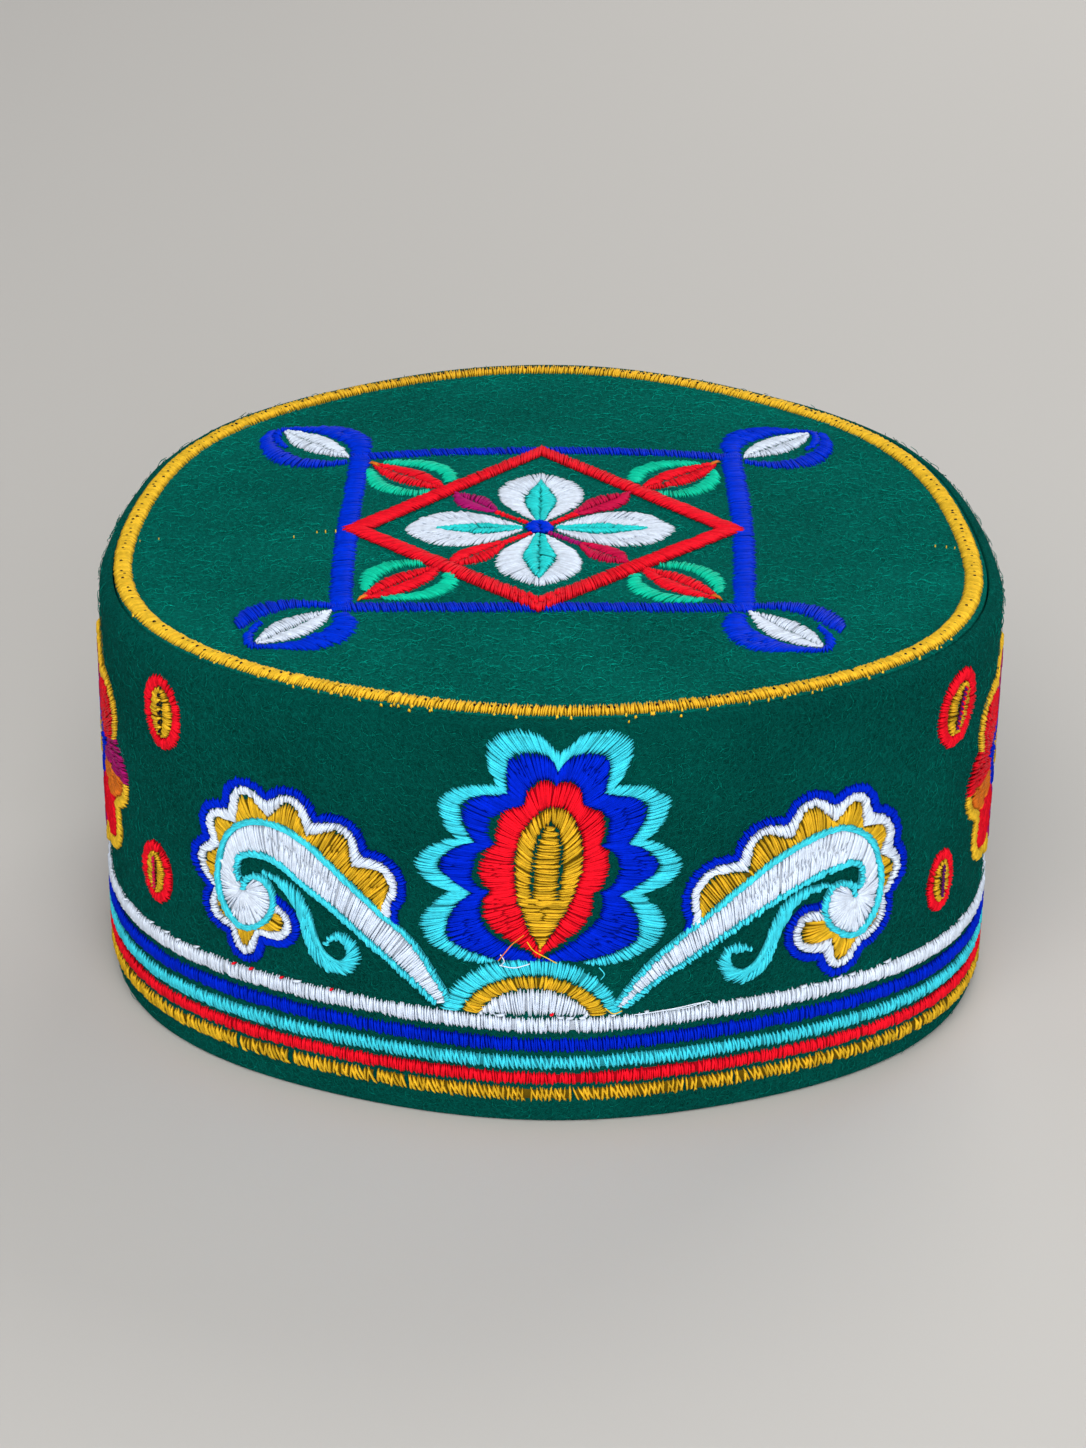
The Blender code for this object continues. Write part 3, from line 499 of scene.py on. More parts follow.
# Ways of laying stitches: lift and slant in millimetres, spacing and ragged ends as shares, share left out
STITCHES = {
    "ring": (-0.1, 0.4, 1.05, 0.4, 0.0),
    "stripe_white": (0.0, 0.15, 1.0, 1.0, 0.05),
    "stripe_blue": (0.0, 0.25, 1.0, 1.0, 0.02),
    "stripe_turquoise": (0.0, 0.5, 1.0, 1.0, 0.06),
    "stripe_red": (0.0, 0.1, 1.0, 1.0, 0.04),
    "stripe_gold": (0.0, 0.7, 1.0, 1.0, 0.12),
    "flower_edge": (0.0, 0.0, 1.12, 1.0, 0.05),
    "flower_blue": (0.05, 0.0, 1.0, 1.0, 0.01),
    "flower_red": (0.12, 0.0, 1.05, 1.0, 0.05),
    "flower_gold": (0.18, 0.0, 1.1, 1.5, 0.06),
    "flower_seed": (0.24, 0.0, 1.1, 1.6, 0.04),
    "flower_foot": (0.28, 0.0, 1.0, 1.2, 0.03),
    "arch_turquoise": (0.0, 0.0, 1.08, 1.0, 0.04),
    "arch_gold": (0.05, 0.0, 1.08, 1.0, 0.04),
    "arch_white": (0.0, 0.0, 1.1, 1.4, 0.06),
    "scroll_edge": (0.0, 0.0, 0.95, 1.0, 0.01),
    "scroll_white": (0.05, 0.0, 1.05, 1.0, 0.04),
    "scroll_gold": (0.0, 0.0, 1.2, 1.0, 0.10),
    "stem": (0.1, 0.0, 0.95, 0.6, 0.03),
    "head": (0.1, 0.0, 1.0, 1.6, 0.06),
    "edging": (0.42, 0.7, 1.1, 1.3, 0.0),
    "tendril": (0.05, 0.3, 1.1, 1.5, 0.03),
    "oval_edge": (0.0, 0.3, 1.0, 1.0, 0.03),
    "oval_gold": (0.1, 0.2, 1.0, 1.0, 0.04),
    "petal_whole": (0.0, 0.0, 1.1, 1.0, 0.03),
    "petal_edge": (0.0, 0.0, 1.05, 1.0, 0.03),
    "petal_fill": (0.05, 0.0, 1.1, 1.0, 0.03),
    "petal_dot": (0.4, 0.0, 1.3, 1.0, 0.0),
    "rosette_heart": (0.08, 0.0, 1.0, 1.0, 0.02),
    "rosette_eye": (0.2, 0.0, 1.2, 1.0, 0.0),
    "frame": (0.0, 0.9, 1.0, 1.0, 0.01),
    "diamond": (0.45, 0.8, 1.05, 1.0, 0.0),
    "almond": (0.05, 1.2, 1.05, 1.0, 0.03),
    "cup": (0.0, 0.4, 1.0, 1.5, 0.02),
    "top_petal": (0.0, -0.8, 1.0, 1.0, 0.03),
    "petal_leaf": (0.12, -1.6, 1.0, 1.0, 0.03),
    "leaf_stem": (0.0, 0.5, 1.0, 1.0, 0.0),
    "leaf": (0.05, -1.6, 1.0, 1.0, 0.03),
    "knot": (0.4, 0.0, 1.0, 1.0, 0.0),
}
# Height of a stitch's ends over the felt, and the shortest stitch that is laid, in millimetres
STITCH_LIFT = 0.05
SHORTEST_STITCH = 0.5
# Shortest strand that is kept, in metres
SHORTEST_STRAND = 0.0002
# Unevenness of a stitch's place in its row, of its lean and of the cuts in a long one
PLACE_JITTER = 0.32
LEAN_JITTER = 0.42
CUT_JITTER = 0.35
# Padded bed: length of a step, share across and height of its section, and how far it is sunk
BED_STEP = 1.1
BED_SECTION = ((0.05, -0.3), (0.27, 0.72), (0.73, 0.72), (0.95, -0.3))
BED_SINK = 0.02
# A strand's points, how fast it rises from its ends, and its radius as a share of its width
STRAND_POINTS = 4
STRAND_SHOULDER = 1.5
STRAND_RADIUS = 0.58
# First seed of each kind of piece: in front and behind, where there are two
SEEDS = {
    "wall_fibres": 11,
    "top_fibres": 12,
    "ring": 21,
    "holes": 22,
    "stripes": 31,
    "flowers": (41, 141),
    "arches": (51, 151),
    "scrolls": 70,
    "ovals": (200, 300),
    "frame": 400,
    "diamond": 401,
    "corners": 410,
    "buds": 430,
    "flames": 450,
    "petals": 450,
    "leaves": 470,
    "knot": 480,
    "red_flecks": 500,
    "gold_flecks": 501,
}
SEED_STEP = 10
# Points and faces of every padded bed, for the loose fibres to keep clear of
STITCHED_BEDS = []

# Loose fibres: ends and middle of the bend, range and seed of the three turns, and of the size
FIBRE_BEND = ((-0.5, 0, 0), (0.05, 0.5, 0.22), (0.42, -0.1, 0.06))
FIBRE_TURNS = (
    (-0.25, 0.25, 5),
    (-0.12, 0.12, 6),
    (0.0, 2 * math.pi, 7),
)
FIBRE_SCALE = (0.5, 1.3, 8)

# Finish of the felt: layers of matted fibres as scale and bend, and scales of its other patterns per metre
FELT_LAYERS = (
    (1.0, 0.0016),
    (1.7, 0.0011),
    (2.9, 0.0007),
)
FELT_SCALE = 620.0
FELT_WOBBLE = 520.0
FELT_CLOUDS = 38.0
FELT_SPECKLES = 1400.0
FELT_FIBRE_EDGE = 0.10
# Painted light: the felt's colour is scaled up on the top, which the light from above falls on, and further
# on the loose fibres, whose nap catches the light; the wall keeps the plain colour
WALL_PAINTED_LIGHT = 1.0
TOP_PAINTED_LIGHT = 2.1
FIBRE_PAINTED_LIGHT = 3.6
FELT_SHEEN = 0.20
FIBRE_SHEEN = 0.04
THREAD_MOTTLE = 900.0
THREAD_TWIST = 3800.0
# Strength and distance of the fine relief
FELT_BUMP = (0.9, 0.00025)
THREAD_BUMP = (0.35, 0.00012)

# Felt meshes: columns round the cap, then inset and height along the wall's hem
COLUMNS = 288
HEM_PROFILE = (
    (FELT_THICKNESS, 0.5),
    (FELT_THICKNESS - 0.5, 0.0),
    (HEM_INSET + 0.1, 0.0),
    (0.75, 0.12),
    (0.4, 0.45),
    (0.12, 0.95),
    (0.0, 1.7),
)
WALL_ROWS = 56
INNER_ROWS = 9
EDGE_STEPS = 5
EDGE_STEP_ANGLE = 14.0
# Inset and drop below the top, at the wall's seam and at the edge of the top
SEAM_PROFILE = (
    (2.7, 0.04),
    (2.92, 0.2),
    (FELT_THICKNESS, 1.4),
)
TOP_EDGE_PROFILE = (
    (0.0, FELT_THICKNESS),
    (0.0, 0.2),
    (0.08, 0.05),
    (0.5, 0.0),
)
TOP_RINGS = 44
# Below this height the wall's waves fade out, and the top takes its waves from this far away
CALM_HEIGHT = 6.0
TOP_WAVE_PLACE = 400.0

# Stray thread ends by thread: points as u, v and lift
STRAY_THREADS = {
    "white": (
        ((18.0, 24.6, 0.5), (22.0, 25.1, 0.9), (27.0, 25.5, 0.9), (31.0, 26.0, 1.0), (33.0, 25.5, 0.8),
         (32.4, 24.8, 0.7)),
        ((24.0, 25.0, 0.6), (29.0, 25.3, 0.9), (32.6, 26.2, 1.0), (33.8, 25.3, 0.7)),
        ((-8.8, 38.8, 1.0), (-8.0, 37.6, 1.4), (-8.6, 36.4, 0.8)),
        ((-9.0, 36.2, 0.7), (-6.0, 36.0, 1.0), (-3.0, 36.9, 0.8)),
    ),
    "orange": (
        ((-4.2, 43.5, 1.2), (-6.4, 41.6, 1.5), (-8.0, 39.4, 1.6), (-9.2, 37.4, 1.0)),
    ),
    "gold": (
        ((-3.6, 42.0, 1.2), (-2.2, 40.2, 1.5), (0.4, 38.6, 1.4), (2.2, 37.2, 0.9)),
        ((12.0, 26.6, 0.6), (13.6, 25.6, 1.2), (15.4, 25.9, 0.8)),
        ((-15.8, 27.6, 0.6), (-13.6, 25.8, 1.1), (-12.2, 26.2, 0.7)),
    ),
    "turquoise": (
        ((10.6, 36.0, 0.8), (11.6, 34.8, 1.4), (11.0, 33.4, 1.0)),
    ),
}
STRAY_RADIUS = 0.00011
# Flecks of red on the white stripe: places round the wall, height, length and lift
RED_FLECKS = (-66.0, -62.0, -55.0, -44.0, 1.0)
RED_FLECK_HEIGHT = 25.2
RED_FLECK_LENGTH = (0.5, 1.0)
RED_FLECK_LIFT = 0.35
# Flecks of gold below the ring: places round the wall, height, length, slope and lift
GOLD_FLECKS = (-34.0, -32.0, -30.5, -28.0, -24.0, 17.0, 26.0, 15.5)
GOLD_FLECK_HEIGHT = (88.0, 89.6)
GOLD_FLECK_LENGTH = (0.3, 0.8)
GOLD_FLECK_SLOPE = 0.3
GOLD_FLECK_LIFT = -0.1

# Stage: floor, colour of the room's light, then each lamp's name, width, place and colour, in metres
FLOOR_HALF = 6.0
ROOM_COLOUR = (0.86, 0.88, 0.92, 1.0)
LAMPS = (
    ("key", 1.4, (-0.25, -1.15, 1.35), (1.0, 0.98, 0.95)),
    ("fill", 1.2, (0.3, -1.4, 0.5), (0.97, 0.98, 1.0)),
    ("back", 0.9, (0.5, 1.1, 0.9), (1.0, 0.98, 0.95)),
)
LAMP_TARGET = (0.0, 0.0, 0.05)
# The back lamp's power as a share of the fill lamp's
BACK_SHARE = 0.6

# Camera as it stood for the picture: place in millimetres about the cap's axis and its three directions
CAMERA_PLACE = (0.0, -671.644, 383.933)
CAMERA_RIGHT = (0.99989532, 0.00796934, 0.01207663)
CAMERA_UP = (-0.01437819, 0.45383639, 0.89096902)
CAMERA_FORWARD = (-0.00161962, 0.89104939, -0.45390347)
FOCAL_PIXELS = 3500.0
PICTURE_HEIGHT = 1448.0
SENSOR = 36.0


class CapSizes(bpy.types.PropertyGroup):
    """Sizes of the stitched work and the felt."""

    strand_width: bpy.props.FloatProperty(
        name="Strand width", description="Width of one laid strand", default=0.00058, min=0.0001,
        unit="LENGTH"
    )
    strand_rise: bpy.props.FloatProperty(
        name="Strand rise", description="How high a strand stands off the felt", default=0.00050,
        unit="LENGTH"
    )
    spacing: bpy.props.FloatProperty(
        name="Spacing", description="Distance from one strand to the next", default=0.00048, min=0.0002,
        unit="LENGTH"
    )
    ragged: bpy.props.FloatProperty(
        name="Ragged ends", description="How unevenly the strands end", default=0.00030, unit="LENGTH"
    )
    width_spread: bpy.props.FloatProperty(
        name="Width spread", description="How much the strands differ in width", default=0.18,
        subtype="FACTOR"
    )
    fibre_length: bpy.props.FloatProperty(
        name="Fibre length", description="Length of a loose felt fibre", default=0.0027, unit="LENGTH"
    )
    fibre_width: bpy.props.FloatProperty(
        name="Fibre width", description="Thickness of a loose felt fibre", default=0.000062, unit="LENGTH"
    )
    fibre_gap: bpy.props.FloatProperty(
        name="Fibre gap", description="Felt left without loose fibres beside the stitches", default=0.0009,
        unit="LENGTH"
    )
    wall_fibres: bpy.props.IntProperty(
        name="Wall fibres", description="Loose fibres per square metre of wall", default=310000
    )
    top_fibres: bpy.props.IntProperty(
        name="Top fibres", description="Loose fibres per square metre of top", default=270000
    )
    felt_bulge: bpy.props.FloatProperty(
        name="Felt bulge", description="Depth of the soft waves in the felt", default=0.00030, unit="LENGTH"
    )


class CapColours(bpy.types.PropertyGroup):
    """Colours of the felt and of the threads."""

    felt: bpy.props.FloatVectorProperty(
        name="Felt", description="Deep green of the felt", default=(0.0003, 0.060, 0.046), subtype="COLOR"
    )
    white: bpy.props.FloatVectorProperty(
        name="White", description="White thread", default=THREADS["white"], subtype="COLOR"
    )
    blue: bpy.props.FloatVectorProperty(
        name="Blue", description="Royal blue thread", default=THREADS["blue"], subtype="COLOR"
    )
    turquoise: bpy.props.FloatVectorProperty(
        name="Turquoise", description="Turquoise thread", default=THREADS["turquoise"], subtype="COLOR"
    )
    red: bpy.props.FloatVectorProperty(
        name="Red", description="Red thread", default=THREADS["red"], subtype="COLOR"
    )
    gold: bpy.props.FloatVectorProperty(
        name="Gold", description="Old gold thread", default=THREADS["gold"], subtype="COLOR"
    )
    mint: bpy.props.FloatVectorProperty(
        name="Mint", description="Mint green thread", default=THREADS["mint"], subtype="COLOR"
    )


class StageSettings(bpy.types.PropertyGroup):
    """Floor and light."""

    floor_colour: bpy.props.FloatVectorProperty(
        name="Floor", description="Colour of the floor", default=(0.56, 0.545, 0.52), subtype="COLOR"
    )
    key_power: bpy.props.FloatProperty(
        name="Key light", description="Power of the large soft light", default=21.5, unit="POWER"
    )
    fill_power: bpy.props.FloatProperty(
        name="Fill light", description="Power of the light from the front", default=14.0, unit="POWER"
    )
    sky: bpy.props.FloatProperty(
        name="Room light", description="Strength of the light from all round", default=0.28
    )


def plan_radius(theta):
    """Outer radius of the wall at an angle from the front, in millimetres."""
    share = 1.0
    for count, amount in PLAN_WAVES:
        share += amount * math.cos(count * theta)
    return MEAN_RADIUS * share


PLAN_SHIFT = (plan_radius(0.0) - plan_radius(math.pi)) / 2


def wall_place(u, v, lift):
    """Point on the felt wall and its outward direction. The upper end of v follows the rounded edge."""
    theta = u / MEAN_RADIUS
    straight = CAP_HEIGHT - TOP_EDGE_RADIUS
    tilt = max(0.0, min(math.pi / 2, (v - straight) / TOP_EDGE_RADIUS))
    height = min(v, straight) + TOP_EDGE_RADIUS * math.sin(tilt)
    radius = plan_radius(theta) - TOP_EDGE_RADIUS * (1 - math.cos(tilt))
    out = Vector((math.sin(theta) * math.cos(tilt), -math.cos(theta) * math.cos(tilt), math.sin(tilt)))
    point = Vector((radius * math.sin(theta), PLAN_SHIFT - radius * math.cos(theta), height))
    return (point + out * lift) * MM, out


def top_place(x, y, lift):
    """Point on the flat top and its outward direction."""
    return Vector((x, y + PLAN_SHIFT, CAP_HEIGHT + lift)) * MM, Vector((0, 0, 1))


def middle_place(x, y, lift):
    """Point on the flat top for the low work in its middle."""
    return top_place(x, y + TOP_SHIFT, lift - TOP_SINK)


def beside(offset):
    """The wall's place with its drawing moved round by an offset."""
    return lambda u, v, lift: wall_place(u + offset, v, lift)


def smooth_run(points, steps=6):
    """A smooth curve through the points, ends included."""
    before = [2 * a - b for a, b in zip(points[0], points[1])]
    after = [2 * a - b for a, b in zip(points[-1], points[-2])]
    knots = [before, *points, after]
    run = []
    for index in range(1, len(knots) - 2):
        for step in range(steps):
            t = step / steps
            spot = []
            for a, b, c, d in zip(*knots[index - 1 : index + 3]):
                cubic = (3 * b - a - 3 * c + d) * t**3
                spot.append(0.5 * (2 * b + (c - a) * t + (2 * a - 5 * b + 4 * c - d) * t**2 + cubic))
            run.append(tuple(spot))
    run.append(tuple(points[-1]))
    return run


def stations(run):
    """Length along the run at each of its points."""
    marks = [0.0]
    for (x, y), (next_x, next_y) in zip(run, run[1:]):
        marks.append(marks[-1] + math.hypot(next_x - x, next_y - y))
    return marks


def point_at(run, marks, share):
    """Point of the run at a share of its length."""
    target = marks[-1] * max(0.0, min(1.0, share))
    index = min(len(run) - 2, max(0, bisect.bisect_right(marks, target) - 1))
    span = marks[index + 1] - marks[index]
    t = (target - marks[index]) / span if span > 0 else 0.0
    (x, y), (next_x, next_y) = run[index], run[index + 1]
    return (x + (next_x - x) * t, y + (next_y - y) * t)


def arc_run(centre, radius, start, end, steps=10):
    """Part of a circle between two angles."""
    run = []
    for step in range(steps + 1):
        angle = start + (end - start) * step / steps
        run.append((centre[0] + radius * math.cos(angle), centre[1] + radius * math.sin(angle)))
    return run


def side_runs(rows):
    """Two runs beside a middle line, from rows of x, y and half width."""
    line = smooth_run(rows, 5)
    left, right = [], []
    for index, (x, y, half) in enumerate(line):
        back = line[max(0, index - 1)]
        ahead = line[min(len(line) - 1, index + 1)]
        dx, dy = ahead[0] - back[0], ahead[1] - back[1]
        span = math.hypot(dx, dy) or 1.0
        left.append((x - dy / span * half, y + dx / span * half))
        right.append((x + dy / span * half, y - dx / span * half))
    return left, right


class Needlework:
    """Strands and padding of one thread, gathered before they become one piece."""

    def __init__(self, seed, loft=1.0, stitch=LONG_STITCH):
        sizes = bpy.context.scene.cap_sizes
        self.draw = random.Random(seed)
        self.spacing = sizes.spacing / MM
        self.ragged = sizes.ragged / MM
        self.rise = sizes.strand_rise / MM
        self.loft = loft
        self.stitch = stitch
        self.strands = []
        self.points = []
        self.faces = []

    def strand(self, start, end, out, tone):
        """One strand from a point to another, in metres."""
        reach = end - start
        if reach.length > SHORTEST_STRAND:
            self.strands.append(((start + end) / 2, reach, out, tone, self.loft))

    def between(self, start, end, place, lift, tone=None):
        """One strand between two flat points."""
        a, out = place(start[0], start[1], STITCH_LIFT + lift)
        b, _ = place(end[0], end[1], STITCH_LIFT + lift)
        self.strand(a, b, out, self.draw.random() if tone is None else tone)

    def laid(self, ax, ay, bx, by, place, lift):
        """A stitch between two flat points, in pieces that lap over one another when it's long."""
        span = math.hypot(bx - ax, by - ay)
        pieces = max(1, round(span / self.stitch))
        cuts = [(piece + self.draw.uniform(-CUT_JITTER, CUT_JITTER)) / pieces for piece in range(1, pieces)]
        cuts = [0.0, *cuts, 1.0]
        lap = STITCH_LAP / span / 2
        tone = self.draw.random()
        for low, high in zip(cuts, cuts[1:]):
            low, high = max(0.0, low - lap), min(1.0, high + lap)
            start, out_a = place(ax + (bx - ax) * low, ay + (by - ay) * low, lift)
            end, out_b = place(ax + (bx - ax) * high, ay + (by - ay) * high, lift)
            self.strand(start, end, (out_a + out_b).normalized(), tone)

    def rows(self, first, second, place, way, turn=1, zigzag=0.0, closed=False, gaps=(), pad=True):
        """Lay strands from one run to another, side by side, in a way of the table, over a padded bed."""
        lift, slant, spacing, ragged, missing = STITCHES[way]
        first_marks, second_marks = stations(first), stations(second)
        length = max(first_marks[-1], second_marks[-1])
        count = max(2, round(length / (self.spacing * spacing)))
        draw = self.draw
        rag = self.ragged * ragged
        for index in range(count):
            share = (index + 0.5 + draw.uniform(-PLACE_JITTER, PLACE_JITTER)) / count
            lean = slant * turn / length + draw.uniform(-LEAN_JITTER, LEAN_JITTER) / length
            if zigzag:
                lean += (zigzag if index % 2 else -zigzag) / length
            cut = draw.random() < missing
            cut = cut or any(low < share * length < high for low, high in gaps)
            reach_out, reach_in = draw.uniform(-rag, rag), draw.uniform(-rag, rag)
            if cut:
                continue
            ax, ay = point_at(first, first_marks, share - lean / 2)
            bx, by = point_at(second, second_marks, share + lean / 2)
            span = math.hypot(bx - ax, by - ay) or 1.0
            dx, dy = (bx - ax) / span, (by - ay) / span
            if span + reach_out + reach_in >= SHORTEST_STITCH:
                ax, ay = ax - dx * reach_out, ay - dy * reach_out
                bx, by = bx + dx * reach_in, by + dy * reach_in
                self.laid(ax, ay, bx, by, place, STITCH_LIFT + lift)
        if not pad:
            return
        steps = max(2, math.ceil(length / BED_STEP))
        base = len(self.points)
        edges = steps if closed else steps + 1
        for step in range(edges):
            ax, ay = point_at(first, first_marks, step / steps)
            bx, by = point_at(second, second_marks, step / steps)
            for across, height in BED_SECTION:
                x, y = ax + (bx - ax) * across, ay + (by - ay) * across
                self.points.append(place(x, y, lift + height * self.rise * self.loft - BED_SINK)[0])
        for step in range(steps):
            if any(low < (step + 0.5) / steps * length < high for low, high in gaps):
                continue
            here, there = base + 4 * step, base + 4 * ((step + 1) % edges)
            for column in range(3):
                self.faces.append((here + column, here + column + 1, there + column + 1, there + column))


def works_of(seed, *threads):
    """Needlework for each thread, with seeds that follow one another."""
    return {thread: Needlework(seed + index) for index, thread in enumerate(threads)}


def live(sockets, name):
    """The first socket of that name that the node shows."""
    for socket in sockets:
        if socket.name == name and socket.enabled:
            return socket
    raise RuntimeError("no socket named " + name)


def put(tree, socket, value):
    """Link a socket to another or to a node's first output, or set it to a plain value."""
    if isinstance(value, bpy.types.Node):
        value = value.outputs[0]
    if isinstance(value, bpy.types.NodeSocket):
        tree.links.new(value, socket)
    else:
        socket.default_value = value


def add_node(tree, kind, given=None, **settings):
    """A node with its settings, then its inputs by name or by number."""
    node = tree.nodes.new(kind)
    for name, value in settings.items():
        setattr(node, name, value)
    for key, value in (given or {}).items():
        put(tree, node.inputs[key] if isinstance(key, int) else live(node.inputs, key), value)
    return node


def calc(tree, operation, *values):
    """A sum, product or other plain calculation."""
    return add_node(tree, "ShaderNodeMath", dict(enumerate(values)), operation=operation)


def chance(tree, low, high, seed):
    """A random number for each point."""
    given = {"Min": low, "Max": high, "Seed": seed}
    return live(add_node(tree, "FunctionNodeRandomValue", given, data_type="FLOAT").outputs, "Value")


def named(tree, name, kind):
    """An attribute of the geometry."""
    node = add_node(tree, "GeometryNodeInputNamedAttribute", {"Name": name}, data_type=kind)
    return live(node.outputs, "Attribute")


def stored(tree, geometry, name, kind, value):
    """The geometry with a value kept at each point."""
    given = {"Geometry": geometry, "Name": name, "Value": value}
    return add_node(tree, "GeometryNodeStoreNamedAttribute", given, data_type=kind, domain="POINT")


def joined_xyz(tree, x, y, z):
    """A vector from its three parts."""
    return add_node(tree, "ShaderNodeCombineXYZ", {0: x, 1: y, 2: z})


def new_group(kind, name, inputs, outputs):
    """A node group with named inputs and outputs: name and socket kind."""
    tree = bpy.data.node_groups.new(name, kind)
    for way, sockets in (("INPUT", inputs), ("OUTPUT", outputs)):
        for label, socket in sockets.items():
            tree.interface.new_socket(label, in_out=way, socket_type="NodeSocket" + socket)
    return tree, tree.nodes.new("NodeGroupInput").outputs, tree.nodes.new("NodeGroupOutput").inputs


def shared(name, build):
    """The node group of that name, built when it's first asked for."""
    return bpy.data.node_groups.get(name) or build(name)


def painted_end(tree, last, spent, material, result):
    """Drop the spent attributes, set the material and end the tree."""
    for name in spent:
        last = add_node(tree, "GeometryNodeRemoveAttribute", {"Geometry": last, "Name": name})
    last = add_node(tree, "GeometryNodeSetMaterial", {"Geometry": last, "Material": material})
    put(tree, result["Geometry"], last)


def strand_tree(name):
    """Lays one arched strand on each marked point, along its reach."""
    tree, given, result = new_group("GeometryNodeTree", name, {
        "Geometry": "Geometry", "Strand Width": "Float", "Strand Rise": "Float", "Width Spread": "Float",
        "Seed": "Int", "Thread": "Material",
    }, {"Geometry": "Geometry"})
    node, maths = partial(add_node, tree), partial(calc, tree)
    line = node("GeometryNodeCurvePrimitiveLine", {"Start": (-0.5, 0, 0), "End": (0.5, 0, 0)})
    line = node("GeometryNodeResampleCurve", {"Curve": line, "Count": STRAND_POINTS})
    x = node("ShaderNodeSeparateXYZ", {0: node("GeometryNodeInputPosition")})
    along = maths("MULTIPLY", maths("SINE", maths("MULTIPLY", x, math.pi)), 0.5)
    away = maths("MULTIPLY", maths("ABSOLUTE", x), 2.0)
    arch = maths("MINIMUM", maths("MULTIPLY", maths("SUBTRACT", 1.0, away), STRAND_SHOULDER), 1.0)
    arched = joined_xyz(tree, along, 0.0, maths("MULTIPLY", arch, SLIM))
    radius = maths("MULTIPLY_ADD", arch, 0.5, 0.5)
    line = node("GeometryNodeSetCurveRadius", {"Curve": line, "Radius": radius})
    line = node("GeometryNodeSetPosition", {"Geometry": line, "Position": arched})
    section = node("GeometryNodeCurvePrimitiveCircle", mode="RADIUS")
    put(tree, live(section.inputs, "Resolution"), 3)
    put(tree, live(section.inputs, "Radius"), STRAND_RADIUS * SLIM)
    section = node("GeometryNodeTransform", {"Geometry": section})
    section.inputs["Rotation"].default_value = (0.0, 0.0, math.radians(SECTION_TURN))
    tube = node("GeometryNodeCurveToMesh", {
        "Curve": line, "Profile Curve": section, "Scale": node("GeometryNodeInputRadius"), "Fill Caps": True,
    })
    spot = node("ShaderNodeSeparateXYZ", {0: node("GeometryNodeInputPosition")})
    smooth = node("GeometryNodeSetShadeSmooth", {"Geometry": stored(tree, tube, "along", "FLOAT", spot)})

    chosen = {"Geometry": given["Geometry"], "Selection": named(tree, "is_strand", "BOOLEAN")}
    parted = node("GeometryNodeSeparateGeometry", chosen, domain="POINT")
    reach = named(tree, "reach", "FLOAT_VECTOR")
    turned = node("FunctionNodeAxesToRotation", {0: reach, 1: named(tree, "outward", "FLOAT_VECTOR")},
                  primary_axis="X", secondary_axis="Z")
    length = node("ShaderNodeVectorMath", {0: reach}, operation="LENGTH").outputs["Value"]
    low, high = (maths(way, 1.0, given["Width Spread"]) for way in ("SUBTRACT", "ADD"))
    wide = maths("MULTIPLY", given["Strand Width"], chance(tree, low, high, given["Seed"]))
    tall = chance(tree, low, high, maths("ADD", given["Seed"], 1.0))
    tall = maths("MULTIPLY", maths("MULTIPLY", given["Strand Rise"], named(tree, "loft", "FLOAT")), tall)
    size = joined_xyz(tree, length, maths("DIVIDE", wide, SLIM), maths("DIVIDE", tall, SLIM))
    laid = node("GeometryNodeInstanceOnPoints", {
        "Points": parted.outputs["Selection"], "Instance": smooth, "Rotation": turned, "Scale": size,
    })
    joined = node("GeometryNodeJoinGeometry")
    put(tree, joined.inputs[0], node("GeometryNodeRealizeInstances", {0: laid}))
    put(tree, joined.inputs[0], parted.outputs["Inverted"])
    painted_end(tree, joined, ("reach", "outward", "is_strand", "loft"), given["Thread"], result)
    return tree


